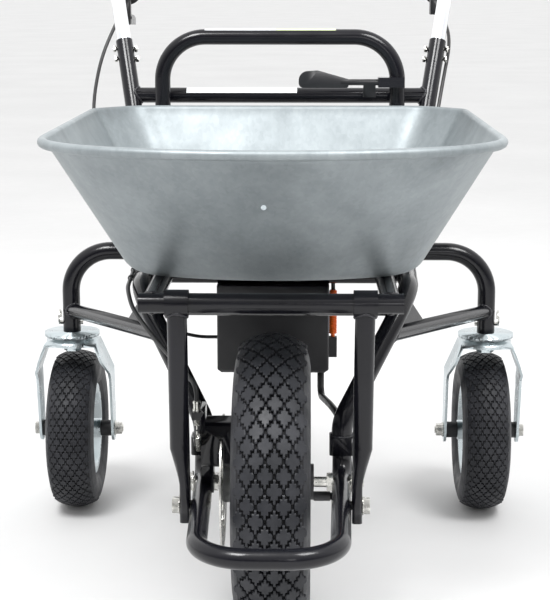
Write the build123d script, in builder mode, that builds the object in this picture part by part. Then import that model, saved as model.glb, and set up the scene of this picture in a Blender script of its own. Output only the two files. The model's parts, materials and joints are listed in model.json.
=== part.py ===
from build123d import *
import os
from math import cos, radians, sin

# Power wheelbarrow: one driven front wheel, two swivel casters and a tray that
# tips forward. Millimetres, +Z up, the front faces -Y, the operator's right hand
# is at -X. The origin is on the ground, at the middle of the overall box.

# --- overall ---------------------------------------------------------------
front_reach = 312.7  # guard's front ahead of the drive axle
rear_reach = 1012.7  # grips' ends behind the drive axle
axle_y = (front_reach - rear_reach) / 2
fit = 0.2  # all-round clearance of a running or sliding fit
gap = 0.3  # clearance between pieces that move past each other

# --- drive wheel, a 4.00-8 tyre on a hub motor -----------------------------
tyre_d = 400.0
tyre_r = tyre_d / 2
axle_z = tyre_r
tyre_w = 100.0
tyre_wall = 8.0
rim_bed_r = 98.0
rim_lip_r = 112.0
rim_half = 36.0
rim_lip_t = 4.0
shell_r = 84.0
web_t = 4.0
boss_r = 28.0
boss_right_x = 50.0
disc_x = 66.0
disc_d = 180.0
disc_t = 2.0
axle_d = 14.0
bearing_d = 35.0
bearing_w = 11.0
magnet_t = 8.0
air_gap = 1.0

# --- fork loop and dropouts -------------------------------------------------
fork_d = 25.4
fork_wall = 2.5
fork_axle_x = 93.0
fork_front_x = 85.0
fork_front_bend = 65.0
fork_rise_bend = 30.0
collar_w = 34.0
collar_h = 24.0
collar_z = axle_z + 32.0
nut_af = 22.0
nut_h = 8.0
washer_t = 2.0

# --- frame tubes ------------------------------------------------------------
rail_d = 28.0
rail_wall = 2.0
deck_z = tyre_d + 34.0  # the level rails pass over the tyre
rail_knee_x = 187.0
rail_knee_y = 130.0
arch_x = 332.0
arch_y = 470.0
arch_bend = 65.0
arch_rail_x = 200.0
riser_foot_x = 204.0
riser_foot_y = 537.0
riser_top_x = 264.0
riser_top_y = 690.0
riser_top_z = deck_z + 322.0
riser_bend = 60.0
brace_d = 22.0
brace_wall = 2.0
brace_rise = 34.0  # above the caster's plate
brace_front_z = deck_z - 54.0
gusset_t = 4.0
cross_d = 22.0
front_cross_y = 116.0
front_cross_z = deck_z - 20.0
front_cross_half = 176.0
crossbar_d = 25.4
crossbar_z = deck_z + 234.0

# --- front struts and tray hinge --------------------------------------------
strut_y = -100.0
strut_d = 25.4
strut_top_x = 118.0
strut_flat_t = 13.0
strut_flat_w = 30.0
strut_end_z = axle_z - 20.0
strut_bolt_d = 12.0
hoop_d = 25.4
pad_t = 2.0
hinge_z = deck_z + rail_d / 2 + pad_t + gap + hoop_d / 2
sleeve_d = 34.0
sleeve_l = 30.0

# --- tray -------------------------------------------------------------------
tray_wall = 2.0
tray_rim_front_z = hinge_z + 197.0
tray_rim_rear_z = hinge_z + 188.0
tray_front_y = -209.0
tray_rear_y = 560.0
tray_half_w = 288.0
tray_front_half = 100.0  # half of the rim's straight front
tray_floor_half_w = 192.0
tray_floor_front_y = -25.0
tray_floor_rear_y = 470.0
bead_d = 11.0
hoop_wall = 2.0
hoop_x = 192.0
hoop_y = 600.0
hoop_top_z = hinge_z + 303.0
hoop_bend = 70.0
tray_rail_x = 150.0
tray_bolt_ys = (60.0, 330.0)
tray_bolt_d = 8.0

# --- casters ----------------------------------------------------------------
caster_d = 260.0
caster_w = 76.0
caster_trail = 42.0
caster_plate_d = 88.0
caster_plate_z = caster_d / 2 + 173.0
caster_plate_t = 6.0
caster_race_t = 4.0
yoke_half = 61.0
yoke_t = 4.0
caster_bed_r = 62.0
caster_lip_r = 74.0
caster_half = 28.0
caster_bolt_d = 12.0
spacer_d = 26.0
lynch_d = 6.0

# --- handles ----------------------------------------------------------------
handle_z = deck_z + 404.0
handle_bend = 50.0
handle_depth = 60.0  # how far a handle goes down into its riser
handle_pin_backs = (15.0, 33.0)
handle_pin_d = 6.0
grip_d = 34.0
grip_l = 118.0
flange_d = 52.0

# --- battery box ------------------------------------------------------------
box_x = -4.0
box_w = 163.0
box_l = 190.0
box_front_y = 228.0
box_bottom_z = deck_z - 141.0
lid_h = 10.0
box_wall = 3.0

# --- worked out from the sizes above ----------------------------------------
caster_r = caster_d / 2
handle_d = rail_d - 2 * rail_wall - 2 * fit
tray_floor_z = hinge_z + hoop_d / 2
lid_top_z = deck_z - cross_d / 2


def at(x, y, z):
    """A point whose y is measured from the drive axle."""
    return Vector(x, axle_y + y, z)


def mirrored(points):
    """The same points on the other side of the machine."""
    return [Vector(-point.X, point.Y, point.Z) for point in points]


def sweep_tube(points, bends, outer, wall=0.0, mode=Mode.ADD):
    """Sweep a round bar or tube along straight runs joined by bends."""
    with BuildLine() as route:
        if len(points) == 2:
            Line(*points)
        else:
            FilletPolyline(*points, radius=bends)
    with BuildSketch(Plane(route.line @ 0, z_dir=route.line % 0)) as section:
        Circle(outer / 2)
        if wall > 0:
            Circle(outer / 2 - wall, mode=Mode.SUBTRACT)
    sweep(section.sketch, path=route.line, mode=mode)


def bar(points, bends, outer):
    """A solid round bar along a route, for trimming what meets it."""
    with BuildPart() as piece:
        sweep_tube(points, bends, outer)
    return piece.part


def round_x(x0, x1, y, z, diameter, mode=Mode.ADD):
    """A round bar along X, from x0 to x1."""
    with BuildSketch(Plane(at(x0, y, z), x_dir=(0, 1, 0), z_dir=(1, 0, 0))) as section:
        Circle(diameter / 2)
    extrude(section.sketch, amount=x1 - x0, mode=mode)


def hex_x(x0, x1, y, z, across_flats, mode=Mode.ADD):
    """A hexagon along X, from x0 to x1."""
    with BuildSketch(Plane(at(x0, y, z), x_dir=(0, 1, 0), z_dir=(1, 0, 0))) as section:
        RegularPolygon(across_flats / 2, 6, major_radius=False)
    extrude(section.sketch, amount=x1 - x0, mode=mode)


def round_z(x, y, z0, z1, diameter, mode=Mode.ADD):
    """A round bar along Z, from z0 to z1."""
    with BuildSketch(Plane(at(x, y, z0))) as section:
        Circle(diameter / 2)
    extrude(section.sketch, amount=z1 - z0, mode=mode)


def block(x0, x1, y0, y1, z0, z1, mode=Mode.ADD):
    """A rectangular block between two corners."""
    with BuildSketch(Plane(at((x0 + x1) / 2, (y0 + y1) / 2, z0))) as section:
        Rectangle(x1 - x0, y1 - y0)
    extrude(section.sketch, amount=z1 - z0, mode=mode)


def wheel_plane(x, y, z):
    """The half-plane of a wheel's section: local x along its axle, local y outward."""
    return Plane(at(x, y, z), x_dir=(1, 0, 0), z_dir=(0, -1, 0))


def turn(outline, x, y, z):
    """Turn an outline of (along the axle, radius) points about an axle along X."""
    with BuildSketch(wheel_plane(x, y, z)) as section:
        with BuildLine():
            Polyline(*outline, close=True)
        make_face()
    revolve(section.sketch, axis=Axis(at(x, y, z), (1, 0, 0)))


def turn_tyre(bed, lip, half_bed, half_width, radius, wall, x, y, z):
    """Turn a tyre: beads on the rim's bed, bulging sides and a crowned tread."""
    belly = (lip + radius) / 2
    shoulder = (half_width * 0.84, radius * 0.93)
    inside = (shoulder[0] - wall * 0.7, shoulder[1] - wall * 0.8)
    bead_t = half_bed * 0.33
    with BuildSketch(wheel_plane(x, y, z)) as section:
        with BuildLine():
            Line((-half_bed, bed), (-half_bed, lip))
            ThreePointArc((-half_bed, lip), (-half_width, belly), (-shoulder[0], shoulder[1]))
            ThreePointArc((-shoulder[0], shoulder[1]), (0, radius), shoulder)
            ThreePointArc(shoulder, (half_width, belly), (half_bed, lip))
            Line((half_bed, lip), (half_bed, bed))
            Line((half_bed, bed), (half_bed - bead_t, bed))
            Line((half_bed - bead_t, bed), (half_bed - bead_t, lip))
            ThreePointArc((half_bed - bead_t, lip), (half_width - wall, belly), inside)
            ThreePointArc(inside, (0, radius - wall), (-inside[0], inside[1]))
            ThreePointArc((-inside[0], inside[1]), (-half_width + wall, belly), (bead_t - half_bed, lip))
            Line((bead_t - half_bed, lip), (bead_t - half_bed, bed))
            Line((bead_t - half_bed, bed), (-half_bed, bed))
        make_face()
    revolve(section.sketch, axis=Axis(at(x, y, z), (1, 0, 0)))


os.makedirs("parts", exist_ok=True)


def write(piece, name):
    """Label a finished piece and write it to its own file."""
    piece.label = name
    export_step(piece, f"parts/{name}.step")


# ============================================================================
# Frame
# ============================================================================

# Routes of the frame's tubes, on the +X side.
fork_leg = [
    at(fork_axle_x, fork_rise_bend, collar_z),
    at(fork_axle_x, fork_rise_bend, axle_z),
    at(fork_front_x, -front_reach + fork_d / 2, axle_z),
]
fork_route = fork_leg + mirrored(fork_leg)[::-1]
fork_bends = [fork_rise_bend - 1, fork_front_bend, fork_front_bend, fork_rise_bend - 1]
collar_top = collar_z + collar_h
rail_route = [
    at(fork_axle_x, fork_rise_bend, collar_top),
    at(fork_axle_x, fork_rise_bend, collar_top + 20),
    at(rail_knee_x, rail_knee_y, deck_z),
    at(arch_rail_x, arch_y, deck_z),
]
rail_bends = [40, 100]
arch_leg = [at(arch_x, arch_y, caster_plate_z), at(arch_x, arch_y, deck_z)]
arch_route = arch_leg + mirrored(arch_leg)[::-1]
riser_route = [
    at(arch_rail_x, arch_y, deck_z),
    at(riser_foot_x, riser_foot_y, deck_z),
    at(riser_top_x, riser_top_y, riser_top_z),
]
riser_axis = (riser_route[2] - riser_route[1]).normalized()
crossbar_share = (crossbar_z - deck_z) / (riser_top_z - deck_z)
crossbar_y = riser_foot_y + crossbar_share * (riser_top_y - riser_foot_y)
crossbar_x = riser_foot_x + crossbar_share * (riser_top_x - riser_foot_x)

arch_bar = bar(arch_route, arch_bend, rail_d)
fork_bar = bar(fork_route, fork_bends, fork_d)
rail_bar = bar(rail_route, rail_bends, rail_d)
riser_bar = bar(riser_route, riser_bend, rail_d)


def handle_pins():
    """The middles of the two bolts that pin a handle in its riser."""
    return [riser_route[2] - riser_axis * back for back in handle_pin_backs]


def rail_x_at(y):
    """How far out a side rail's level part is, at a distance behind the axle."""
    share = (y - rail_knee_y) / (arch_y - rail_knee_y)
    return rail_knee_x + share * (arch_rail_x - rail_knee_x)


# U-shaped loop: front guard, two legs past the axle, and ends rising to the collars.
with BuildPart() as fork_loop:
    sweep_tube(fork_route, fork_bends, fork_d, fork_wall)
    round_x(-150, 150, 0, axle_z, axle_d + fit, mode=Mode.SUBTRACT)
    round_x(-150, 150, strut_y, axle_z, strut_bolt_d + fit, mode=Mode.SUBTRACT)
write(fork_loop.part, "fork_loop")

# Square collars that join the fork's ends to the side rails.
with BuildPart() as rail_collars:
    for hand in (-1, 1):
        with BuildSketch(Plane(at(hand * fork_axle_x, fork_rise_bend, collar_z))) as foot:
            RectangleRounded(collar_w, collar_w, 5)
        extrude(foot.sketch, amount=collar_h)

# Side rails: up and out from the collars, then level under the tray to the arch.
with BuildPart() as side_rail:
    sweep_tube(rail_route, rail_bends, rail_d, rail_wall)
    add(arch_bar, mode=Mode.SUBTRACT)
    mirror(about=Plane.YZ)
write(Compound(children=[side_rail.part, rail_collars.part]), "side_rails")

# Rear arch: one tube across, with a leg down to each caster.
with BuildPart() as rear_arch:
    sweep_tube(arch_route, arch_bend, rail_d, rail_wall)
    for hand in (-1, 1):
        x = hand * arch_x
        round_x(x - 20, x + 20, arch_y, caster_plate_z + 14, lynch_d + fit, mode=Mode.SUBTRACT)
write(rear_arch.part, "rear_arch")

# Braces from the arch's legs forward to the side rails, with gussets above them.
rail_run = rail_route[2] - rail_route[1]
brace_share = (brace_front_z - rail_route[1].Z) / rail_run.Z
brace_front = rail_route[1] + rail_run * brace_share
brace_route = [at(arch_x, arch_y, caster_plate_z + brace_rise), brace_front]
brace_dir = (brace_front - brace_route[0]).normalized()
brace_bar = bar(brace_route, 0, brace_d)
with BuildPart() as arch_braces:
    sweep_tube(brace_route, 0, brace_d, brace_wall)
    add(arch_bar, mode=Mode.SUBTRACT)
    add(rail_bar, mode=Mode.SUBTRACT)
    mirror(about=Plane.YZ)
write(arch_braces.part, "arch_braces")

gusset_plane = Plane(brace_front, x_dir=-brace_dir, z_dir=brace_dir.cross(Vector(0, 0, 1)))
with BuildPart() as arch_gussets:
    with BuildSketch(gusset_plane) as web:
        with BuildLine():
            Polyline((8, 0), (150, 0), (72, -46), (38, -46), close=True)
        make_face()
    extrude(web.sketch, amount=gusset_t / 2, both=True)
    add(brace_bar, mode=Mode.SUBTRACT)
    add(rail_bar, mode=Mode.SUBTRACT)
    mirror(about=Plane.YZ)
write(arch_gussets.part, "arch_gussets")

# Cross tubes between the side rails: one ahead of the battery, two that carry it.
with BuildPart() as frame_cross_tubes:
    for y, z in ((front_cross_y, front_cross_z), (box_front_y + 25, deck_z), (box_front_y + box_l - 25, deck_z)):
        half = min(rail_x_at(y), front_cross_half)
        round_x(-half, half, y, z, cross_d)
        round_x(-half, half, y, z, cross_d - 2 * brace_wall, mode=Mode.SUBTRACT)
    add(rail_bar, mode=Mode.SUBTRACT)
    add(mirror(rail_bar, about=Plane.YZ), mode=Mode.SUBTRACT)
write(frame_cross_tubes.part, "frame_cross_tubes")

# Risers from the arch up to the handles, joined by a crossbar.
with BuildPart() as handle_risers:
    sweep_tube(riser_route, riser_bend, rail_d, rail_wall)
    add(arch_bar, mode=Mode.SUBTRACT)
    for pin in handle_pins():
        round_x(pin.X - 30, pin.X + 30, pin.Y - axle_y, pin.Z, handle_pin_d + fit, mode=Mode.SUBTRACT)
    mirror(about=Plane.YZ)
write(handle_risers.part, "handle_risers")

with BuildPart() as handle_crossbar:
    round_x(-crossbar_x, crossbar_x, crossbar_y, crossbar_z, crossbar_d)
    round_x(-crossbar_x, crossbar_x, crossbar_y, crossbar_z, crossbar_d - 2 * hoop_wall, mode=Mode.SUBTRACT)
    add(riser_bar, mode=Mode.SUBTRACT)
    add(mirror(riser_bar, about=Plane.YZ), mode=Mode.SUBTRACT)
write(handle_crossbar.part, "handle_crossbar")

# Front struts: round above, pressed flat below where they bolt to the fork's legs.
leg_slope = (fork_axle_x - fork_front_x) / (front_reach - fork_d / 2 + fork_rise_bend)
fork_strut_x = fork_axle_x - leg_slope * (fork_rise_bend - strut_y)
strut_foot_x = fork_strut_x + fork_d / 2 + strut_flat_t / 2 + 0.7
with BuildPart() as front_struts:
    with BuildSketch(Plane(at(strut_top_x, strut_y, hinge_z))) as top_end:
        Circle(strut_d / 2)
    with BuildSketch(Plane(at(strut_top_x - 2, strut_y, axle_z + 75))) as neck:
        Circle(strut_d / 2)
    with BuildSketch(Plane(at(strut_foot_x, strut_y, axle_z + 30))) as flat:
        RectangleRounded(strut_flat_t, strut_flat_w, 5)
    loft([top_end.sketch, neck.sketch])
    loft([neck.sketch, flat.sketch])
    extrude(flat.sketch, amount=strut_end_z - axle_z - 30)
    round_x(strut_top_x - sleeve_l, strut_top_x + sleeve_l, strut_y, hinge_z, sleeve_d, mode=Mode.SUBTRACT)
    round_x(60, 160, strut_y, axle_z, strut_bolt_d + fit, mode=Mode.SUBTRACT)
    mirror(about=Plane.YZ)
write(front_struts.part, "front_struts")

# Sleeves on the struts, in which the tray's hinge tube turns.
with BuildPart() as hinge_sleeves:
    for hand in (-1, 1):
        x0 = hand * strut_top_x - sleeve_l / 2
        round_x(x0, x0 + sleeve_l, strut_y, hinge_z, sleeve_d)
        round_x(x0, x0 + sleeve_l, strut_y, hinge_z, hoop_d + 2 * gap, mode=Mode.SUBTRACT)
write(hinge_sleeves.part, "hinge_sleeves")

# Bolts of the frame: one through each strut and fork leg, two through each handle.
strut_head_x = strut_foot_x + strut_flat_t / 2
with BuildPart() as frame_bolts:
    round_x(fork_strut_x - fork_d / 2, strut_head_x, strut_y, axle_z, strut_bolt_d)
    round_x(strut_head_x, strut_head_x + washer_t, strut_y, axle_z, 2 * strut_bolt_d)
    hex_x(strut_head_x + washer_t, strut_head_x + washer_t + 8, strut_y, axle_z, 19)
    for pin in handle_pins():
        seat = rail_d / 2 + 1.6
        round_x(pin.X - seat, pin.X + seat, pin.Y - axle_y, pin.Z, handle_pin_d)
        hex_x(pin.X + seat, pin.X + seat + 4, pin.Y - axle_y, pin.Z, 10)
        hex_x(pin.X - seat - 5, pin.X - seat, pin.Y - axle_y, pin.Z, 10)
    mirror(about=Plane.YZ)
write(frame_bolts.part, "frame_bolts")

# Rubber rests on the arch, under the tray's rails.
with BuildPart() as tray_rests:
    for hand in (-1, 1):
        x = hand * tray_rail_x
        block(x - 16, x + 16, arch_y - 10, arch_y + 10, deck_z, deck_z + rail_d / 2 + pad_t)
    add(arch_bar, mode=Mode.SUBTRACT)
write(tray_rests.part, "tray_rests")

# ============================================================================
# Handles
# ============================================================================

handle_foot = riser_route[2] - riser_axis * handle_depth
corner_run = (handle_z - riser_top_z) / riser_axis.Z
handle_corner = riser_route[2] + riser_axis * corner_run
handle_x = handle_corner.X
grip_y = rear_reach - grip_l
handle_route = [handle_foot, handle_corner, at(handle_x, rear_reach - 3, handle_z)]
with BuildPart() as handle_ends:
    sweep_tube(handle_route, handle_bend, handle_d, rail_wall)
    for pin in handle_pins():
        round_x(pin.X - 30, pin.X + 30, pin.Y - axle_y, pin.Z, handle_pin_d + fit, mode=Mode.SUBTRACT)
    mirror(about=Plane.YZ)
write(handle_ends.part, "handle_ends")

grip_dir = (handle_route[2] - handle_route[1]).normalized()
grip_foot = handle_route[2] - grip_dir * (grip_l - 3)
handle_bar = bar(handle_route, handle_bend, handle_d)
with BuildPart() as grips:
    with BuildSketch(Plane(grip_foot, z_dir=grip_dir)) as flange:
        Circle(flange_d / 2)
    extrude(flange.sketch, amount=5)
    with BuildSketch(Plane(grip_foot, z_dir=grip_dir)) as handgrip:
        Circle(grip_d / 2)
    extrude(handgrip.sketch, amount=grip_l)
    add(handle_bar, mode=Mode.SUBTRACT)
    mirror(about=Plane.YZ)
write(grips.part, "grips")

right_handle_bar = mirror(handle_bar, about=Plane.YZ)

# Brake lever on the right handle: a clamp with two cheeks, and a blade under the grip.
perch_y = grip_y - 26
perch_x = -handle_x
blade_z = handle_z - 48
cheek_t = 4.0
blade_t = 8.0
with BuildPart() as brake_perch:
    with BuildSketch(Plane(at(perch_x, perch_y - 12, handle_z), z_dir=(0, 1, 0))) as clamp:
        Circle(handle_d / 2 + 6)
    extrude(clamp.sketch, amount=24)
    for x in (perch_x - blade_t / 2 - gap - cheek_t, perch_x + blade_t / 2 + gap):
        block(x, x + cheek_t, perch_y - 12, perch_y + 12, blade_z - 12, handle_z - 8)
    block(perch_x - 8, perch_x + 8, perch_y - 12, perch_y - 6, blade_z + 8 + gap, handle_z - 8)
    round_x(perch_x - 10, perch_x + 10, perch_y + 2, blade_z, 5)
    with BuildSketch(Plane(at(perch_x, perch_y - 12, blade_z + 14), z_dir=(0, -1, 0))) as barrel:
        Circle(6)
    extrude(barrel.sketch, amount=16)
    add(right_handle_bar, mode=Mode.SUBTRACT)
write(brake_perch.part, "brake_perch")

blade_plane = Plane(at(perch_x - blade_t / 2, perch_y + 2, blade_z), x_dir=(0, 1, 0), z_dir=(1, 0, 0))
with BuildPart() as brake_lever:
    with BuildSketch(blade_plane) as blade:
        Circle(9)
        with BuildLine():
            Polyline(
                (0, 9), (30, 6), (100, 2), (128, -4), (128, -16), (96, -11), (30, -7), (0, -9), close=True,
            )
        make_face()
        Circle(2.5 + gap, mode=Mode.SUBTRACT)
    extrude(blade.sketch, amount=blade_t)
write(brake_lever.part, "brake_lever")

# Thumb throttle on the left handle, with its power button.
throttle_x = handle_x
with BuildPart() as throttle_housing:
    with BuildSketch(Plane(at(throttle_x, perch_y - 14, handle_z), z_dir=(0, 1, 0))) as clamp:
        Circle(handle_d / 2 + 7)
    extrude(clamp.sketch, amount=28)
    block(throttle_x - 16, throttle_x + 16, perch_y - 14, perch_y + 14, handle_z - 42, handle_z)
    block(throttle_x - 12, throttle_x + 12, perch_y - 10, perch_y + 15, handle_z - 38, handle_z - 24,
          mode=Mode.SUBTRACT)
    round_z(throttle_x, perch_y, handle_z - 43, handle_z - 24, 6 + 2 * gap, mode=Mode.SUBTRACT)
    round_x(throttle_x + 10, throttle_x + 25, perch_y, handle_z - 10, 8 + 2 * gap, mode=Mode.SUBTRACT)
    with BuildSketch(Plane(at(throttle_x, perch_y - 14, handle_z - 32), z_dir=(0, -1, 0))) as gland:
        Circle(5)
    extrude(gland.sketch, amount=10)
    add(handle_bar, mode=Mode.SUBTRACT)
write(throttle_housing.part, "throttle_housing")

with BuildPart() as thumb_lever:
    round_z(throttle_x, perch_y, handle_z - 42, handle_z - 37, 6)
    with BuildSketch(Plane(at(throttle_x, perch_y, handle_z - 37))) as paddle:
        Circle(9)
        with Locations((0, 17)):
            Rectangle(9, 34)
        with Locations((0, 34)):
            Circle(7)
    extrude(paddle.sketch, amount=9)
write(thumb_lever.part, "thumb_lever")

with BuildPart() as power_button:
    round_x(throttle_x + 12, throttle_x + 19, perch_y, handle_z - 10, 8)
write(power_button.part, "power_button")

# ============================================================================
# Drive wheel, hub motor and brake
# ============================================================================

with BuildPart() as drive_tyre:
    turn_tyre(rim_bed_r, rim_lip_r, rim_half, tyre_w / 2, tyre_r, tyre_wall, 0, 0, axle_z)
write(drive_tyre.part, "drive_tyre")

bore_r = bearing_d / 2 + fit
lip_half = rim_half + rim_lip_t
cover_x = rim_half - web_t
shell_outline = [
    (1 - disc_x, bore_r), (1 - disc_x, boss_r), (-rim_half + 2, boss_r), (-rim_half + 2, shell_r + web_t),
    (-lip_half, shell_r + web_t), (-lip_half, rim_lip_r), (-rim_half, rim_lip_r), (-rim_half, rim_bed_r),
    (rim_half, rim_bed_r), (rim_half, rim_lip_r), (lip_half, rim_lip_r), (lip_half, shell_r),
    (-rim_half + 2 + web_t, shell_r), (-rim_half + 2 + web_t, bore_r),
]
bearing_seats = (-48.0, boss_right_x - 16)
bolt_circle_r = 21.5
vent_circle_r = 56.0
vent_d = 34.0
with BuildPart() as motor_shell:
    turn(shell_outline, 0, 0, axle_z)
    for angle in range(0, 360, 60):
        y = bolt_circle_r * cos(radians(angle))
        z = axle_z + bolt_circle_r * sin(radians(angle))
        round_x(1 - disc_x, 1 - disc_x + 10, y, z, 4, mode=Mode.SUBTRACT)
write(motor_shell.part, "motor_shell")

with BuildPart() as motor_cover:
    cover_outline = [
        (rim_half, shell_r), (cover_x, shell_r), (cover_x, boss_r), (cover_x - 6, boss_r), (cover_x - 6, bore_r),
        (boss_right_x, bore_r), (boss_right_x, boss_r), (rim_half, boss_r),
    ]
    turn(cover_outline, 0, 0, axle_z)
write(motor_cover.part, "motor_cover")

with BuildPart() as motor_magnets:
    magnet_r = shell_r - magnet_t
    turn([(-24, magnet_r), (-24, shell_r), (24, shell_r), (24, magnet_r)], 0, 0, axle_z)
write(motor_magnets.part, "motor_magnets")

with BuildPart() as motor_stator:
    stator_r = shell_r - magnet_t - air_gap
    turn([(-24, axle_d / 2), (-24, stator_r), (24, stator_r), (24, axle_d / 2)], 0, 0, axle_z)
write(motor_stator.part, "motor_stator")

with BuildPart() as wheel_bearings:
    for x0 in bearing_seats:
        round_x(x0, x0 + bearing_w, 0, axle_z, bearing_d)
        round_x(x0, x0 + bearing_w, 0, axle_z, axle_d, mode=Mode.SUBTRACT)
write(wheel_bearings.part, "wheel_bearings")

with BuildPart() as brake_disc:
    round_x(-disc_x - disc_t / 2, -disc_x + disc_t / 2, 0, axle_z, disc_d)
    round_x(-disc_x - 5, -disc_x + 5, 0, axle_z, 2 * 14, mode=Mode.SUBTRACT)
    for angle in range(0, 360, 60):
        y = bolt_circle_r * cos(radians(angle))
        z = axle_z + bolt_circle_r * sin(radians(angle))
        round_x(-disc_x - 5, -disc_x + 5, y, z, 4, mode=Mode.SUBTRACT)
        y = vent_circle_r * cos(radians(angle + 30))
        z = axle_z + vent_circle_r * sin(radians(angle + 30))
        round_x(-disc_x - 5, -disc_x + 5, y, z, vent_d, mode=Mode.SUBTRACT)
write(brake_disc.part, "brake_disc")

with BuildPart() as disc_bolts:
    for angle in range(0, 360, 60):
        y = bolt_circle_r * cos(radians(angle))
        z = axle_z + bolt_circle_r * sin(radians(angle))
        round_x(-disc_x - disc_t / 2, -disc_x + 10, y, z, 4)
        round_x(-disc_x - disc_t / 2 - 2.5, -disc_x - disc_t / 2, y, z, 7)
write(disc_bolts.part, "disc_bolts")

nut_in = fork_axle_x - fork_d / 2
nut_out = fork_axle_x + fork_d / 2
with BuildPart() as drive_axle:
    round_x(-nut_out - 16, nut_out + 16, 0, axle_z, axle_d)
    fillet(drive_axle.edges().filter_by(GeomType.CIRCLE), 1)
write(drive_axle.part, "drive_axle")

with BuildPart() as axle_nuts:
    round_x(nut_out, nut_out + washer_t, 0, axle_z, 2 * axle_d)
    hex_x(nut_out + washer_t, nut_out + washer_t + 11, 0, axle_z, nut_af)
    hex_x(nut_in - nut_h, nut_in, 0, axle_z, nut_af)
    mirror(about=Plane.YZ)
    round_x(-nut_out - 20, nut_out + 20, 0, axle_z, axle_d, mode=Mode.SUBTRACT)
    add(fork_bar, mode=Mode.SUBTRACT)
write(axle_nuts.part, "axle_nuts")

# Disc brake: a caliper over the disc's front edge, on a lug of the right fork leg.
caliper_y = -35.0
caliper_z0 = axle_z + 36.0
caliper_z1 = axle_z + 96.0
slot_half = 2.5
pad_back_t = 5.0
pad_half = 13.0
pad_z0 = axle_z + 44.0
pad_z1 = axle_z + 77.0
arm_z = axle_z + 62.0  # pivot of the caliper's arm
stop_x = -96.0
stop_y = caliper_y - 36
stop_z = axle_z + 116.0
with BuildPart() as brake_caliper:
    block(-92, -50, caliper_y - 22, caliper_y + 22, caliper_z0, caliper_z1)
    fillet(brake_caliper.edges().filter_by(Axis.X), 6)
    round_x(-disc_x - slot_half, -disc_x + slot_half, 0, axle_z, disc_d + 8, mode=Mode.SUBTRACT)
    for x in (-disc_x - slot_half - pad_back_t, -disc_x + slot_half):
        block(x, x + pad_back_t, caliper_y - pad_half, caliper_y + pad_half, pad_z0, pad_z1, mode=Mode.SUBTRACT)
    round_x(-101, -91, caliper_y, arm_z, 6)
    block(-92, -76, caliper_y - 15, caliper_y + 15, axle_z, caliper_z0)
    block(-92, -86, stop_y - 8, caliper_y + 12, caliper_z1 - 8, stop_z)
    block(-102, -86, stop_y - 8, stop_y + 8, stop_z - 10, stop_z)
    round_z(stop_x, stop_y, stop_z - 12, stop_z + 2, 3, mode=Mode.SUBTRACT)
    add(mirror(fork_bar, about=Plane.YZ), mode=Mode.SUBTRACT)
    add(mirror(rail_bar, about=Plane.YZ), mode=Mode.SUBTRACT)
write(brake_caliper.part, "brake_caliper")

with BuildPart() as brake_pads:
    for hand in (-1, 1):
        faces = (-disc_x + hand * (disc_t / 2 + gap), -disc_x + hand * (slot_half + pad_back_t))
        block(min(faces), max(faces), caliper_y - pad_half, caliper_y + pad_half, pad_z0, pad_z1)
write(brake_pads.part, "brake_pads")

arm_plane = Plane(at(-98, caliper_y, arm_z), x_dir=(0, 1, 0), z_dir=(1, 0, 0))
with BuildPart() as caliper_arm:
    with BuildSketch(arm_plane) as arm:
        Circle(10)
        with BuildLine():
            Polyline((4, 9), (-8, 6), (-34, 24), (-40, 18), (-12, -7), (4, -9), close=True)
        make_face()
        Circle(3 + gap, mode=Mode.SUBTRACT)
    extrude(arm.sketch, amount=5)
write(caliper_arm.part, "caliper_arm")

# ============================================================================
# Tray, its frame and the latch
# ============================================================================

tray_run = tray_rear_y - tray_front_y
rim_tilt = (tray_rim_front_z - tray_rim_rear_z) / tray_run
rim_plane = Plane(at(0, tray_front_y, tray_rim_front_z), x_dir=(1, 0, 0), z_dir=(0, rim_tilt, 1))
floor_plane = Plane(at(0, tray_floor_front_y, tray_floor_z))
rim_points = [(tray_front_half, 0), (tray_half_w, 94), (tray_half_w, tray_run - 67), (tray_half_w - 60, tray_run)]
rim_bends = [4 * tray_front_half, 172, 30, 60]
floor_run = tray_floor_rear_y - tray_floor_front_y
floor_points = [
    (68, 0), (tray_floor_half_w, 50), (tray_floor_half_w, floor_run - 40), (tray_floor_half_w - 36, floor_run),
]
floor_bends = [300, 78, 18, 36]


def tray_outline(points, bends):
    """A closed outline from the points of its +X half, with every corner rounded."""
    left = [(-x, y) for x, y in points][::-1]
    FilletPolyline(*(points + left), radius=bends + bends[::-1], close=True)


with BuildPart() as tray:
    with BuildSketch(floor_plane) as floor_outer:
        with BuildLine():
            tray_outline(floor_points, floor_bends)
        make_face()
    with BuildSketch(rim_plane) as rim_outer:
        with BuildLine():
            tray_outline(rim_points, rim_bends)
        make_face()
    with BuildSketch(floor_plane.offset(tray_wall)) as floor_inner:
        with BuildLine():
            tray_outline(floor_points, floor_bends)
        make_face()
        offset(amount=-tray_wall)
    with BuildSketch(rim_plane) as rim_inner:
        with BuildLine():
            tray_outline(rim_points, rim_bends)
        make_face()
        offset(amount=-tray_wall)
    with BuildSketch(rim_plane) as bead_line:
        with BuildLine():
            tray_outline(rim_points, rim_bends)
        make_face()
        offset(amount=bead_d / 2 - tray_wall)
    loft([floor_outer.sketch, rim_outer.sketch], ruled=True)
    loft([floor_inner.sketch, rim_inner.sketch], ruled=True, mode=Mode.SUBTRACT)
    bead_path = bead_line.sketch.face().outer_wire()
    with BuildSketch(Plane(bead_path @ 0, z_dir=bead_path % 0)) as bead:
        Circle(bead_d / 2)
    sweep(bead.sketch, path=bead_path)
    for x in (-tray_rail_x, tray_rail_x):
        for y in tray_bolt_ys:
            round_z(x, y, tray_floor_z - 5, tray_floor_z + 5, tray_bolt_d + fit, mode=Mode.SUBTRACT)
write(tray.part, "tray")

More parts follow.
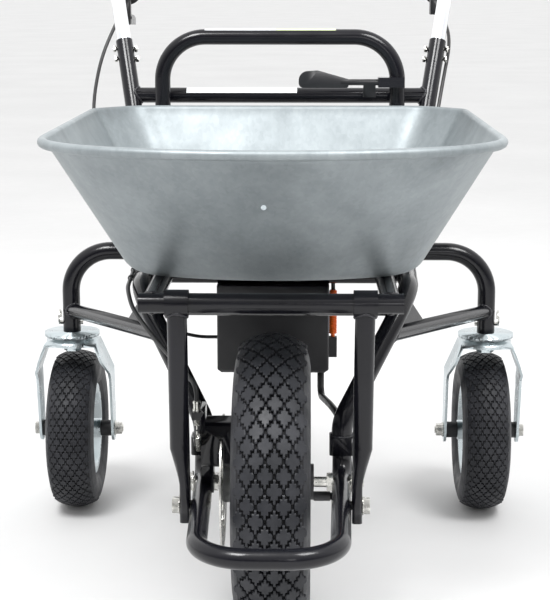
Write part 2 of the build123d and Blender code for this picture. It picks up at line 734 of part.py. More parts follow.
# Tip hoop behind the tray, and the rails under it down to the hinge tube.
hoop_leg = [at(hoop_x, hoop_y, hinge_z - hoop_d / 2 - 2), at(hoop_x, hoop_y, hoop_top_z)]
hoop_route = hoop_leg + mirrored(hoop_leg)[::-1]
hoop_bar = bar(hoop_route, hoop_bend, hoop_d)
with BuildPart() as tip_hoop:
    sweep_tube(hoop_route, hoop_bend, hoop_d, hoop_wall)

hinge_half = tray_rail_x + hoop_d / 2 + 3
with BuildPart() as hinge_tube:
    round_x(-hinge_half, hinge_half, strut_y, hinge_z, hoop_d)
    round_x(-hinge_half, hinge_half, strut_y, hinge_z, hoop_d - 2 * hoop_wall, mode=Mode.SUBTRACT)
write(hinge_tube.part, "hinge_tube")

with BuildPart() as rear_cross:
    round_x(-hoop_x, hoop_x, hoop_y, hinge_z, hoop_d)
with BuildPart() as tray_rails:
    round_x(-hoop_x, hoop_x, hoop_y, hinge_z, hoop_d)
    round_x(-hoop_x, hoop_x, hoop_y, hinge_z, hoop_d - 2 * hoop_wall, mode=Mode.SUBTRACT)
    for x in (-hoop_x, hoop_x):
        round_z(x, hoop_y, hinge_z - hoop_d, hinge_z + hoop_d, hoop_d, mode=Mode.SUBTRACT)
with BuildPart() as long_rails:
    for x in (-tray_rail_x, tray_rail_x):
        sweep_tube([at(x, strut_y, hinge_z), at(x, hoop_y, hinge_z)], 0, hoop_d, hoop_wall)
        for y in tray_bolt_ys:
            round_z(x, y, hinge_z - 20, hinge_z + 20, tray_bolt_d + fit, mode=Mode.SUBTRACT)
    round_x(-hinge_half, hinge_half, strut_y, hinge_z, hoop_d, mode=Mode.SUBTRACT)
    add(rear_cross.part, mode=Mode.SUBTRACT)
write(Compound(children=[tray_rails.part, long_rails.part]), "tray_rails")

# Studs welded flush in the tray's floor, with nuts under the rails.
with BuildPart() as tray_bolts:
    for x in (-tray_rail_x, tray_rail_x):
        for y in tray_bolt_ys:
            round_z(x, y, hinge_z - hoop_d / 2 - 7, tray_floor_z + tray_wall, tray_bolt_d)
            with BuildSketch(Plane(at(x, y, hinge_z - hoop_d / 2 - 6))) as nut:
                RegularPolygon(6.5, 6, major_radius=False)
            extrude(nut.sketch, amount=6)
write(tray_bolts.part, "tray_bolts")

latch_y = hoop_y - 20
latch_z = crossbar_z + 26
latch_rod_d = 10.0
with BuildPart() as latch_bracket:
    block(hoop_x - 32, hoop_x + 10, latch_y - 8, hoop_y, latch_z - 8, latch_z + 8)
    round_x(hoop_x - 40, hoop_x + 4, latch_y, latch_z, latch_rod_d + 2 * gap, mode=Mode.SUBTRACT)
    add(hoop_bar, mode=Mode.SUBTRACT)
write(Compound(children=[tip_hoop.part, latch_bracket.part]), "tip_hoop")

latch_plane = Plane(at(0, latch_y + 4, latch_z), x_dir=(1, 0, 0), z_dir=(0, -1, 0))
with BuildPart() as latch_lever:
    with BuildSketch(latch_plane) as paddle:
        with BuildLine():
            FilletPolyline((31, -9), (31, 17), (62, 19), (112, 5), (112, -9), radius=[8, 15, 4, 2, 4], close=True)
        make_face()
    extrude(paddle.sketch, amount=8)
    round_x(100, hoop_x + 3.5, latch_y, latch_z, latch_rod_d)
    block(hoop_x - 56, hoop_x - 36, latch_y - 4, latch_y + 4, latch_z - 24, latch_z)
write(latch_lever.part, "latch_lever")

# ============================================================================
# Casters
# ============================================================================

spigot_d = rail_d - 2 * rail_wall - 2 * fit
plate_foot = caster_plate_z - caster_plate_t
crown_top = plate_foot - 3 - gap - caster_race_t + 1
pin_z = caster_plate_z + 14
with BuildPart() as caster_top_plates:
    for x in (-arch_x, arch_x):
        round_z(x, arch_y, plate_foot, caster_plate_z, caster_plate_d)
        round_z(x, arch_y, plate_foot - 3, plate_foot, 70)
        round_z(x, arch_y, caster_plate_z, caster_plate_z + 60, spigot_d)
        round_z(x, arch_y, plate_foot - 25, plate_foot, 14)
        with BuildSketch(Plane(at(x, arch_y, plate_foot - 25))) as nut:
            RegularPolygon(12, 6, major_radius=False)
        extrude(nut.sketch, amount=10)
        round_x(x - 20, x + 20, arch_y, pin_z, lynch_d + fit, mode=Mode.SUBTRACT)
write(caster_top_plates.part, "caster_top_plates")

with BuildPart() as lynch_pins:
    for hand in (-1, 1):
        x0, x1 = sorted((hand * (arch_x - 18), hand * (arch_x + 21)))
        round_x(x0, x1, arch_y, pin_z, lynch_d)
        ring_plane = Plane(at(hand * (arch_x + 19), arch_y, pin_z + 10), x_dir=(0, 1, 0), z_dir=(1, 0, 0))
        with BuildSketch(ring_plane) as ring:
            Circle(12)
            Circle(9.5, mode=Mode.SUBTRACT)
        extrude(ring.sketch, amount=1.25, both=True)
write(lynch_pins.part, "lynch_pins")


def make_yoke(x, name):
    """A swivel yoke: a folded plate with two flared legs, under a round crown."""
    foot = caster_r - 22
    front_plane = Plane(at(x, arch_y, 0), x_dir=(1, 0, 0), z_dir=(0, -1, 0))
    side_plane = Plane(at(x, arch_y + caster_trail, caster_r), x_dir=(0, 1, 0), z_dir=(1, 0, 0))
    knee_z = caster_plate_z - 69
    crown_z = crown_top - 8
    shoulder = 38.0
    inner = yoke_half - yoke_t
    with BuildPart() as yoke:
        with BuildSketch(front_plane) as fold:
            with BuildLine():
                Polyline(
                    (-yoke_half, foot), (-yoke_half, knee_z), (-shoulder - 3, crown_z + yoke_t),
                    (shoulder + 3, crown_z + yoke_t), (yoke_half, knee_z), (yoke_half, foot),
                    (inner, foot), (inner, knee_z), (shoulder, crown_z),
                    (-shoulder, crown_z), (-inner, knee_z), (-inner, foot), close=True,
                )
            make_face()
        extrude(fold.sketch, amount=70, both=True)
        with BuildSketch(side_plane) as profile:
            Circle(20)
            with BuildLine():
                Polyline(
                    (-20, 0), (-38, 92), (-76, 128), (-76, 170), (-8, 170), (12, 96), (20, 0), close=True,
                )
            make_face()
        extrude(profile.sketch, amount=90, both=True, mode=Mode.INTERSECT)
        round_z(x, arch_y, crown_z, crown_top, 82)
        round_z(x, arch_y, crown_top, plate_foot - 3 - gap, 66)
        round_z(x, arch_y, crown_z - 5, plate_foot, 14 + 2 * gap, mode=Mode.SUBTRACT)
        round_x(x - 80, x + 80, arch_y + caster_trail, caster_r, caster_bolt_d + fit, mode=Mode.SUBTRACT)
    write(yoke.part, name)


def make_caster_axle(x, hand, name):
    """The bolt through a yoke, its head outward, with a spacer each side of the hub."""
    y = arch_y + caster_trail
    head, tail = x + hand * yoke_half, x - hand * yoke_half
    with BuildPart() as axle:
        round_x(*sorted((tail - hand * 14, head)), y, caster_r, caster_bolt_d)
        round_x(*sorted((head, head + hand * 2)), y, caster_r, 24)
        hex_x(*sorted((head + hand * 2, head + hand * 9)), y, caster_r, 18)
        round_x(*sorted((tail, tail - hand * 2)), y, caster_r, 24)
        hex_x(*sorted((tail - hand * 2, tail - hand * 12)), y, caster_r, 18)
    with BuildPart() as spacers:
        for end in (-1, 1):
            x0, x1 = sorted((x + end * (yoke_half - yoke_t), x + end * (caster_w / 2 + gap)))
            round_x(x0, x1, y, caster_r, spacer_d)
            round_x(x0, x1, y, caster_r, caster_bolt_d, mode=Mode.SUBTRACT)
    write(Compound(children=[axle.part, spacers.part]), name)


def make_caster_wheel(x, side):
    """The tyre and the pressed steel rim of one caster."""
    hub_half = caster_w / 2
    bore = caster_bolt_d / 2 + gap
    bed, lip = caster_bed_r, caster_lip_r
    rim_side = [(-hub_half, bore), (-hub_half, 16), (-2, 16), (-2, bed - 4), (-caster_half - 2.5, bed - 4),
                (-caster_half - 2.5, lip), (-caster_half, lip), (-caster_half, bed)]
    outline = rim_side + [(-a, r) for a, r in rim_side][::-1]
    with BuildPart() as rim:
        turn(outline, x, arch_y + caster_trail, caster_r)
    write(rim.part, f"caster_rim_{side}")
    with BuildPart() as tyre:
        turn_tyre(bed, lip, caster_half, caster_w / 2, caster_r, 6, x, arch_y + caster_trail, caster_r)
    write(tyre.part, f"caster_tyre_{side}")


for side, hand in (("left", 1), ("right", -1)):
    make_yoke(hand * arch_x, f"caster_yoke_{side}")
    make_caster_axle(hand * arch_x, hand, f"caster_axle_{side}")
    make_caster_wheel(hand * arch_x, side)

# ============================================================================
# Battery box
# ============================================================================

box_x0, box_x1 = box_x - box_w / 2, box_x + box_w / 2
box_y1 = box_front_y + box_l
box_top_z = lid_top_z - lid_h
with BuildPart() as battery_box:
    block(box_x0, box_x1, box_front_y, box_y1, box_bottom_z, box_top_z)
    chamfer(battery_box.faces().sort_by(Axis.Z)[0].edges(), 6)
    fillet(battery_box.edges().filter_by(Axis.Z), 3)
    block(box_x0 + box_wall, box_x1 - box_wall, box_front_y + box_wall, box_y1 - box_wall,
          box_bottom_z + 6, box_top_z + 1, mode=Mode.SUBTRACT)
write(battery_box.part, "battery_box")

with BuildPart() as battery_lid:
    block(box_x0, box_x1, box_front_y - 3, box_y1 + 3, box_top_z, lid_top_z)
    fillet(battery_lid.edges().filter_by(Axis.Z), 3)
write(battery_lid.part, "battery_lid")

pack_x1 = box_x0 + 112
with BuildPart() as battery_pack:
    block(box_x0 + 6, pack_x1, box_front_y + 8, box_y1 - 8, box_bottom_z + 6, box_top_z - 16)
write(battery_pack.part, "battery_pack")

with BuildPart() as motor_controller:
    block(pack_x1 + 6, box_x1 - 6, box_front_y + 20, box_y1 - 30, box_bottom_z + 6, box_bottom_z + 80)
write(motor_controller.part, "motor_controller")

sleeve_x = box_x1 + 6.5
sleeve_y = box_front_y + 48
sleeve_top_z = box_top_z - 4
with BuildPart() as battery_lead:
    round_z(sleeve_x, sleeve_y, box_bottom_z + 50, sleeve_top_z, 12)
    round_z(sleeve_x, sleeve_y, box_bottom_z + 45, box_bottom_z + 50, 6)
write(battery_lead.part, "battery_lead")

with BuildPart() as battery_connector:
    block(box_x1, box_x1 + 12.5, sleeve_y - 6, sleeve_y + 6, box_bottom_z + 15, box_bottom_z + 45)
write(battery_connector.part, "battery_connector")

# ============================================================================
# Cables held by the machine
# ============================================================================

cable_d = 6.0
motor_cable_d = 10.0
sleeve_cable_d = 13.0
gland_z = axle_z - 20
tie_t = 1.2
tie_out = rail_d / 2 + tie_t + cable_d / 2 + gap


def cable_radii(points):
    """A radius for each corner, as large as the two runs beside it allow."""
    radii = []
    for before, corner, after in zip(points, points[1:], points[2:]):
        into, out = corner - before, after - corner
        half_turn = radians(into.get_angle(out)) / 2
        radii.append(0.45 * min(into.length, out.length) / sin(half_turn) * cos(half_turn))
    return radii


def beside_riser(z, out, back=0.0, hand=1):
    """A point beside a riser's axis at a height, further out by a given distance."""
    share = (z - deck_z) / (riser_top_z - deck_z)
    x = riser_foot_x + share * (riser_top_x - riser_foot_x)
    y = riser_foot_y + share * (riser_top_y - riser_foot_y)
    return at(hand * (x + out), y + back, z)


brake_route = [
    at(perch_x, perch_y - 28, blade_z + 14),
    at(perch_x, perch_y - 62, blade_z + 14),
    at(-312, 772, 730),
    at(-322, 715, 655),
    at(-312, 650, 575),
    at(-285, 580, 505),
    at(-252, 512, 474),
    at(-232, 458, 464),
    at(-rail_x_at(408) - tie_out, 408, deck_z + 2),
    at(-rail_x_at(140) - tie_out, 140, deck_z + 2),
    at(-194, 92, 416),
    at(-163, 42, 390),
    at(-136, -2, 372),
    at(-112, -42, 358),
    at(stop_x, stop_y, stop_z + 34),
    at(stop_x, stop_y, stop_z),
]
throttle_route = [
    at(throttle_x, perch_y - 24, handle_z - 32),
    at(throttle_x, perch_y - 56, handle_z - 32),
    beside_riser(755, 24, 24),
    beside_riser(690, 20, 4),
    beside_riser(620, 19),
    beside_riser(550, 20),
    beside_riser(492, 26, -10),
    at(228, 475, 456),
    at(212, 420, 455),
    at(186, 365, 453),
    at(158, 335, 438),
    at(124, 312, 432),
    at(sleeve_x, sleeve_y, 438),
    at(sleeve_x, sleeve_y, sleeve_top_z),
]
motor_route = [
    at(77, 0, gland_z),
    at(100, 0, gland_z),
    at(104, 52, gland_z + 20),
    at(99, 66, gland_z + 62),
    at(90, 100, gland_z + 84),
    at(80, 150, gland_z + 86),
    at(72, 205, gland_z + 80),
    at(66, 246, gland_z + 76),
    at(66, 246, box_bottom_z),
]
switch_route = [
    at(box_x0, 262, 340),
    at(-112, 262, 340),
    at(-140, 235, 352),
    at(-166, 196, 372),
    at(-178, 165, 406),
]
for name, route, diameter in (
    ("brake_cable", brake_route, cable_d),
    ("throttle_cable", throttle_route, cable_d),
    ("motor_cable", motor_route, motor_cable_d),
    ("brake_switch_lead", switch_route, 5.0),
):
    radii = cable_radii(route)
    print(name, "tightest bend", round(min(radii)), "mm")
    with BuildPart() as cable:
        sweep_tube(route, radii, diameter)
    write(cable.part, name)

# The motor's cable gland, a flange on the axle with a stiff sleeve beside it.
with BuildPart() as motor_gland:
    round_x(boss_right_x + 1, boss_right_x + 5, 0, axle_z, 2 * 24)
    round_x(boss_right_x + 1, boss_right_x + 5, 0, axle_z, axle_d, mode=Mode.SUBTRACT)
    round_x(boss_right_x + 5, 77, 0, gland_z, sleeve_cable_d)
write(motor_gland.part, "motor_gland")


def tie(around, along, radius, cable_at, cable_radius):
    """A cable tie: a band round a tube and a small loop round the cable beside it."""
    plane = Plane(around, z_dir=along)
    beside = plane.to_local_coords(cable_at)
    with BuildSketch(plane) as band:
        Circle(radius + tie_t)
        with Locations((beside.X, beside.Y)):
            Circle(cable_radius + gap + tie_t)
        Circle(radius, mode=Mode.SUBTRACT)
        with Locations((beside.X, beside.Y)):
            Circle(cable_radius + gap, mode=Mode.SUBTRACT)
    extrude(band.sketch, amount=2.5, both=True)


rail_along = (rail_route[3] - rail_route[2]).normalized()
with BuildPart() as cable_ties:
    for y in (220, 285, 350):
        x = rail_x_at(y)
        around = at(-x, y, deck_z)
        beside = at(-x - tie_out, y, deck_z + 2)
        tie(around, Vector(-rail_along.X, rail_along.Y, 0), rail_d / 2, beside, cable_d / 2)
write(cable_ties.part, "cable_ties")
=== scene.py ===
import bmesh
import bpy
import json
import math
from mathutils import Matrix, Vector


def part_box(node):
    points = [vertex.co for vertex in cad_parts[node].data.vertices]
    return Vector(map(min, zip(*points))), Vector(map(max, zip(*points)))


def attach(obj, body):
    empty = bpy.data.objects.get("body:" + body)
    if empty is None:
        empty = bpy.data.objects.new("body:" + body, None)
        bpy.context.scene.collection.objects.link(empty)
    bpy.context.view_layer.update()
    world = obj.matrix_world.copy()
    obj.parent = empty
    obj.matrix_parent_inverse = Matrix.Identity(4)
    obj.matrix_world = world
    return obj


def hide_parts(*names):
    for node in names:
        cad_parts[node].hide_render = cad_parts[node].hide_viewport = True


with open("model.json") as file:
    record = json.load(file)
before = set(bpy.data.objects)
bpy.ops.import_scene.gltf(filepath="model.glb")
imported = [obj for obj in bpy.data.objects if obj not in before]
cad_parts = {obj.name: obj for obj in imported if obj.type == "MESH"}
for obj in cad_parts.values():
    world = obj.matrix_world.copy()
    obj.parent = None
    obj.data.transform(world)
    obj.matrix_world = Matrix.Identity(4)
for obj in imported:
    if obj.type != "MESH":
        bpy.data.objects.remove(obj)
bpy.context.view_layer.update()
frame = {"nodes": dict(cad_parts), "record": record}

# The looks of a power wheelbarrow. Metres, +Z up, the front faces -Y, and the
# operator, who stands behind, has their right hand at -X.

MM = 0.001
record = frame["record"]
body_of = {node: body for body, nodes in record["behaviour"]["bodies"].items() for node in nodes}
slot_of = {part["node"]: part["material_slot"] for part in record["subparts"]}

tyre_low, tyre_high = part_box("drive_tyre")
axle = (tyre_low + tyre_high) / 2


def at(x, y, z):
    """A point in metres from millimetres, whose y is measured from the drive axle."""
    return Vector((x * MM, axle.y + y * MM, z * MM))


# ============================================================================
# Camera, light and floor
# ============================================================================

camera_data = bpy.data.cameras.new("camera")
camera_data.lens = 98.8
camera_data.sensor_width = 36.0
camera = bpy.data.objects.new("camera", camera_data)
camera.location = at(42.1, -2115, 865.9)
camera.rotation_euler = (math.pi / 2 - 0.1952, 0, 0.0184)
bpy.context.scene.collection.objects.link(camera)
bpy.context.scene.camera = camera

# The sky is dark low in front of the object and bright overhead and behind it.
sky_lift, sky_dark_end, sky_bright_end = (0, 0.45, 0.70), -0.35, 0.26
world = bpy.data.worlds.new("studio")
world.use_nodes = True
sky = world.node_tree
sky_place = sky.nodes.new("ShaderNodeTexCoord")
sky_height = sky.nodes.new("ShaderNodeVectorMath")
sky_height.operation = "DOT_PRODUCT"
sky_height.inputs[1].default_value = sky_lift
sky_range = sky.nodes.new("ShaderNodeMapRange")
sky_range.inputs["From Min"].default_value = sky_dark_end
sky_range.inputs["From Max"].default_value = sky_bright_end
sky_ramp = sky.nodes.new("ShaderNodeValToRGB")
sky.links.new(sky_place.outputs["Generated"], sky_height.inputs[0])
sky.links.new(sky_height.outputs["Value"], sky_range.inputs["Value"])
sky.links.new(sky_range.outputs["Result"], sky_ramp.inputs["Fac"])
sky.links.new(sky_ramp.outputs["Color"], sky.nodes["Background"].inputs["Color"])
sky.nodes["Background"].inputs["Strength"].default_value = 1.3
sky_ramp.color_ramp.elements[0].color = (0.06, 0.06, 0.065, 1)
sky_ramp.color_ramp.elements[1].color = (1.0, 1.0, 1.0, 1)
bpy.context.scene.world = world
bpy.context.scene.view_settings.view_transform = "Standard"


def soft_light(name, place, target, size, power):
    """A square soft light at a place, turned to a target."""
    data = bpy.data.lights.new(name, "AREA")
    data.size = size
    data.energy = power
    lamp = bpy.data.objects.new(name, data)
    lamp.location = place
    lamp.rotation_euler = (Vector(target) - Vector(place)).to_track_quat("-Z", "Y").to_euler()
    bpy.context.scene.collection.objects.link(lamp)


soft_light("key", (-0.9, -1.6, 3.0), (0, -0.2, 0.5), 1.0, 82)
soft_light("fill", (1.2, -1.3, 2.8), (0, -0.2, 0.5), 1.0, 56)
soft_light("front", (0.5, -3.4, 1.1), (0, -0.3, 0.3), 0.7, 5)

floor_reach = 60
floor_mesh = bpy.data.meshes.new("floor")
floor_corners = [(x * floor_reach, y * floor_reach, 0) for x, y in ((-1, -1), (1, -1), (1, 1), (-1, 1))]
floor_mesh.from_pydata(floor_corners, [], [(0, 1, 2, 3)])
floor = bpy.data.objects.new("floor", floor_mesh)
bpy.context.scene.collection.objects.link(floor)

# ============================================================================
# Materials
# ============================================================================


class Surface:
    """A material whose colour, roughness and relief vary over the object's own space."""

    def __init__(self, name, metallic=0.0, coat=0.0, specular=0.5, stretch=(1, 1, 1)):
        self.material = bpy.data.materials.new(name)
        self.material.use_nodes = True
        self.tree = self.material.node_tree
        self.shader = self.tree.nodes["Principled BSDF"]
        self.shader.inputs["Metallic"].default_value = metallic
        self.shader.inputs["Coat Weight"].default_value = coat
        self.shader.inputs["Coat Roughness"].default_value = 0.06
        self.shader.inputs["Specular IOR Level"].default_value = specular
        place = self.tree.nodes.new("ShaderNodeTexCoord")
        mapping = self.tree.nodes.new("ShaderNodeMapping")
        mapping.inputs["Scale"].default_value = stretch
        self.tree.links.new(place.outputs["Object"], mapping.inputs["Vector"])
        self.place = mapping.outputs["Vector"]
        self.height = None

    def noise(self, scale, detail=4.0, distortion=0.0):
        """Cloudy noise, from 0 to 1."""
        node = self.tree.nodes.new("ShaderNodeTexNoise")
        node.inputs["Scale"].default_value = scale
        node.inputs["Detail"].default_value = detail
        node.inputs["Distortion"].default_value = distortion
        self.tree.links.new(self.place, node.inputs["Vector"])
        return node.outputs["Fac"]

    def cells(self, scale):
        """Crystal-like cells, each with its own value from 0 to 1."""
        node = self.tree.nodes.new("ShaderNodeTexVoronoi")
        node.inputs["Scale"].default_value = scale
        self.tree.links.new(self.place, node.inputs["Vector"])
        split = self.tree.nodes.new("ShaderNodeSeparateColor")
        self.tree.links.new(node.outputs["Color"], split.inputs["Color"])
        return split.outputs["Red"]

    def spread(self, value, low, high, start=0.3, end=0.7):
        """A value stretched to run from low to high."""
        node = self.tree.nodes.new("ShaderNodeMapRange")
        for socket, number in (("From Min", start), ("From Max", end), ("To Min", low), ("To Max", high)):
            node.inputs[socket].default_value = number
        self.tree.links.new(value, node.inputs["Value"])
        return node.outputs["Result"]

    def sum(self, first, second, share):
        """The first value with a share of the second added."""
        node = self.tree.nodes.new("ShaderNodeMath")
        node.operation = "MULTIPLY_ADD"
        self.tree.links.new(second, node.inputs[0])
        node.inputs[1].default_value = share
        self.tree.links.new(first, node.inputs[2])
        return node.outputs["Value"]

    def colour(self, value, *stops):
        """Paint with a ramp of (place, colour) stops."""
        ramp = self.tree.nodes.new("ShaderNodeValToRGB")
        elements = ramp.color_ramp.elements
        for index, (place, shade) in enumerate(stops):
            element = elements[index] if index < 2 else elements.new(place)
            element.position = place
            element.color = (*shade, 1)
        self.tree.links.new(value, ramp.inputs["Fac"])
        self.tree.links.new(ramp.outputs["Color"], self.shader.inputs["Base Color"])

    def rough(self, value):
        """Take the roughness from a value."""
        self.tree.links.new(value, self.shader.inputs["Roughness"])

    def relief(self, value, depth):
        """Add fine relief of a depth in metres, on top of any that is there."""
        bump = self.tree.nodes.new("ShaderNodeBump")
        bump.inputs["Strength"].default_value = 1.0
        bump.inputs["Distance"].default_value = depth
        self.tree.links.new(value, bump.inputs["Height"])
        if self.height is not None:
            self.tree.links.new(self.height, bump.inputs["Normal"])
        self.height = bump.outputs["Normal"]
        self.tree.links.new(self.height, self.shader.inputs["Normal"])


def paint(name, dark, light, rough=(0.15, 0.24), coat=0.10):
    """Powder coat with a faint orange-peel skin."""
    surface = Surface(name, coat=coat, specular=0.30)
    surface.colour(surface.noise(9, 5), (0.3, dark), (0.7, light))
    surface.rough(surface.spread(surface.noise(30, 6), *rough))
    surface.relief(surface.noise(260, 2), 0.00012)
    return surface.material


def metal(name, dark, light, rough, grain=(1, 1, 1), scale=60, depth=0.00005):
    """Bare or plated metal with cloudy plating and a fine drawn grain."""
    surface = Surface(name, metallic=1.0, stretch=grain)
    surface.colour(surface.noise(scale * 0.3, 6, 0.4), (0.3, dark), (0.7, light))
    surface.rough(surface.spread(surface.noise(scale, 8), *rough))
    surface.relief(surface.noise(scale * 8, 3), depth)
    return surface.material


def galvanised(name):
    """Hot-dip zinc on sheet: soft streaks, spangle and pale bloom."""
    surface = Surface(name, metallic=0.38, stretch=(1, 1, 0.55))
    streaks = surface.noise(5.5, 7, 0.6)
    bloom = surface.sum(streaks, surface.noise(38, 6, 0.3), 0.35)
    spangle = surface.sum(bloom, surface.cells(210), 0.09)
    surface.colour(
        spangle,
        (0.38, (0.145, 0.162, 0.169)),
        (0.92, (0.285, 0.315, 0.327)),
        (0.62, (0.208, 0.234, 0.245)),
    )
    surface.rough(surface.spread(surface.noise(14, 8, 0.5), 0.38, 0.55))
    surface.relief(surface.noise(150, 4), 0.00010)
    surface.relief(surface.noise(11, 3), 0.0009)
    return surface.material


def rubber(name, dark, light, rough, relief_scale=900, depth=0.00018):
    """Moulded rubber with a dusty bloom and a fine pitted skin."""
    surface = Surface(name, specular=0.35)
    bloom = surface.sum(surface.noise(24, 7), surface.noise(140, 4), 0.3)
    surface.colour(bloom, (0.45, dark), (0.85, light))
    surface.rough(surface.spread(surface.noise(45, 6), *rough))
    surface.relief(surface.noise(relief_scale, 3), depth)
    return surface.material


def plastic(name, dark, light, rough, texture=1400, depth=0.00012):
    """Injection-moulded plastic with a spark-eroded texture."""
    surface = Surface(name, specular=0.5)
    surface.colour(surface.noise(18, 5), (0.3, dark), (0.7, light))
    surface.rough(surface.spread(surface.noise(60, 5), *rough))
    surface.relief(surface.noise(texture, 2), depth)
    return surface.material


materials = {
    "black_paint": paint("gloss_black_coat", (0.0025, 0.0025, 0.004), (0.006, 0.006, 0.009)),
    "galvanised": galvanised("galvanised_sheet"),
    "zinc": metal("bright_zinc", (0.46, 0.52, 0.54), (0.62, 0.68, 0.70), (0.24, 0.36), scale=50),
    "bright_steel": metal("plated_steel", (0.50, 0.50, 0.47), (0.78, 0.77, 0.73), (0.20, 0.36), scale=120),
    "chrome": metal("polished_chrome", (0.74, 0.76, 0.79), (0.86, 0.88, 0.90), (0.05, 0.11), scale=40),
    "tyre": rubber("tyre_rubber", (0.009, 0.010, 0.013), (0.026, 0.027, 0.032), (0.42, 0.66)),
    "rubber": rubber("grip_rubber", (0.010, 0.010, 0.011), (0.024, 0.024, 0.025), (0.55, 0.75)),
    "black_plastic": plastic("textured_black", (0.010, 0.010, 0.012), (0.020, 0.020, 0.022), (0.38, 0.52)),
    "orange_plastic": plastic("orange_sleeve", (0.80, 0.115, 0.008), (0.95, 0.19, 0.02), (0.28, 0.42)),
    "cable_black": plastic("cable_jacket", (0.010, 0.010, 0.011), (0.020, 0.020, 0.021), (0.34, 0.5)),
    "aluminium": metal("cast_aluminium", (0.42, 0.43, 0.44), (0.66, 0.67, 0.68), (0.32, 0.5), scale=140,
                       depth=0.00015),
    "copper": metal("lacquered_copper", (0.52, 0.25, 0.12), (0.74, 0.40, 0.22), (0.25, 0.4)),
    "red_plastic": plastic("red_button", (0.45, 0.02, 0.015), (0.60, 0.04, 0.03), (0.22, 0.35)),
}
# Painted shade: a darker, rougher rubber for the groove floors between the tread blocks, standing in for the
# shade in the grooves.
groove_painted_shade = rubber("tyre_groove_painted_shade", (0.004, 0.004, 0.005), (0.009, 0.009, 0.011), (0.6, 0.8))
label_white = plastic("blank_label", (0.74, 0.77, 0.79), (0.84, 0.86, 0.87), (0.25, 0.4))
label_green = plastic("pale_green_label", (0.62, 0.74, 0.36), (0.72, 0.82, 0.46), (0.25, 0.4))
weld_paint = paint("painted_weld", (0.007, 0.007, 0.010), (0.016, 0.016, 0.020), (0.18, 0.32), coat=0.4)

floor_finish = Surface("pale_floor", specular=0.2)
floor_finish.colour(floor_finish.noise(1.5, 3), (0.3, (0.66, 0.66, 0.66)), (0.7, (0.70, 0.70, 0.70)))
floor_finish.rough(floor_finish.spread(floor_finish.noise(20, 3), 0.55, 0.7))
floor.data.materials.append(floor_finish.material)

# ============================================================================
# Mesh tools
# ============================================================================


def link(name, mesh):
    """A new object at the origin around a mesh."""
    obj = bpy.data.objects.new(name, mesh)
    bpy.context.scene.collection.objects.link(obj)
    return obj


def shaded(mesh, angle=32):
    """Smooth shading, with edges sharper than an angle in degrees kept crisp."""
    mesh.polygons.foreach_set("use_smooth", [True] * len(mesh.polygons))
    mesh.set_sharp_from_angle(angle=math.radians(angle))
    return mesh


def new_mesh(name, verts, faces, outward=True):
    """A mesh from lists of points and faces, with its normals pointing outward."""
    mesh = bpy.data.meshes.new(name)
    mesh.from_pydata([tuple(v) for v in verts], [], faces)
    if outward:
        work = bmesh.new()
        work.from_mesh(mesh)
        bmesh.ops.remove_doubles(work, verts=work.verts, dist=1e-6)
        bmesh.ops.recalc_face_normals(work, faces=work.faces)
        work.to_mesh(mesh)
        work.free()
    return mesh


def plain(obj, name):
    """The evaluated shape of an object as a plain mesh object; the source is removed."""
    graph = bpy.context.evaluated_depsgraph_get()
    mesh = bpy.data.meshes.new_from_object(obj.evaluated_get(graph), depsgraph=graph)
    mesh.name = name
    source = obj.data
    bpy.data.objects.remove(obj)
    if isinstance(source, bpy.types.Mesh) and source.users == 0:
        bpy.data.meshes.remove(source)
    return link(name, mesh)


def finished(obj, body, slot, material=None, replaces=()):
    """Give a piece its body and its material, which is the slot's unless another is given."""
    obj.data.materials.clear()
    obj.data.materials.append(material or materials[slot])
    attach(obj, body)
    if replaces:
        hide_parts(*replaces)
    return obj


def arc(a, b, c, steps):
    """Points along the arc from a through b to c, in a plane."""
    (ax, ay), (bx, by), (cx, cy) = a, b, c
    d = 2 * (ax * (by - cy) + bx * (cy - ay) + cx * (ay - by))
    squares = [p * p + q * q for p, q in (a, b, c)]
    ux = (squares[0] * (by - cy) + squares[1] * (cy - ay) + squares[2] * (ay - by)) / d
    uy = (squares[0] * (cx - bx) + squares[1] * (ax - cx) + squares[2] * (bx - ax)) / d
    radius = math.hypot(ax - ux, ay - uy)
    first, middle, last = (math.atan2(q - uy, p - ux) for p, q in (a, b, c))
    turn = (last - first) % math.tau
    if (middle - first) % math.tau > turn:
        turn -= math.tau
    return [
        (ux + radius * math.cos(first + turn * i / steps), uy + radius * math.sin(first + turn * i / steps))
        for i in range(steps + 1)
    ]


def lathe(name, profile, place, segments=96):
    """Turn a closed profile of (along, radius) points about the local X axis of a place."""
    verts, faces = [], []
    count = len(profile)
    for step in range(segments):
        angle = math.tau * step / segments
        for along, radius in profile:
            verts.append(place @ Vector((along, radius * math.sin(angle), radius * math.cos(angle))))
        for i in range(count):
            here, there = step * count, (step + 1) % segments * count
            faces.append((here + i, here + (i + 1) % count, there + (i + 1) % count, there + i))
    return new_mesh(name, verts, faces)


def along_x(point):
    """A place at a point whose local X axis is the world's."""
    return Matrix.Translation(point)


def along(point, direction):
    """A place at a point whose local X axis runs along a direction."""
    return Matrix.Translation(point) @ Vector(direction).to_track_quat("X", "Z").to_matrix().to_4x4()


def joined(name, meshes):
    """One object from several meshes."""
    work = bmesh.new()
    for mesh in meshes:
        work.from_mesh(mesh)
        bpy.data.meshes.remove(mesh)
    mesh = bpy.data.meshes.new(name)
    work.to_mesh(mesh)
    work.free()
    return link(name, mesh)


# ============================================================================
# Geometry Nodes trees for what repeats
# ============================================================================


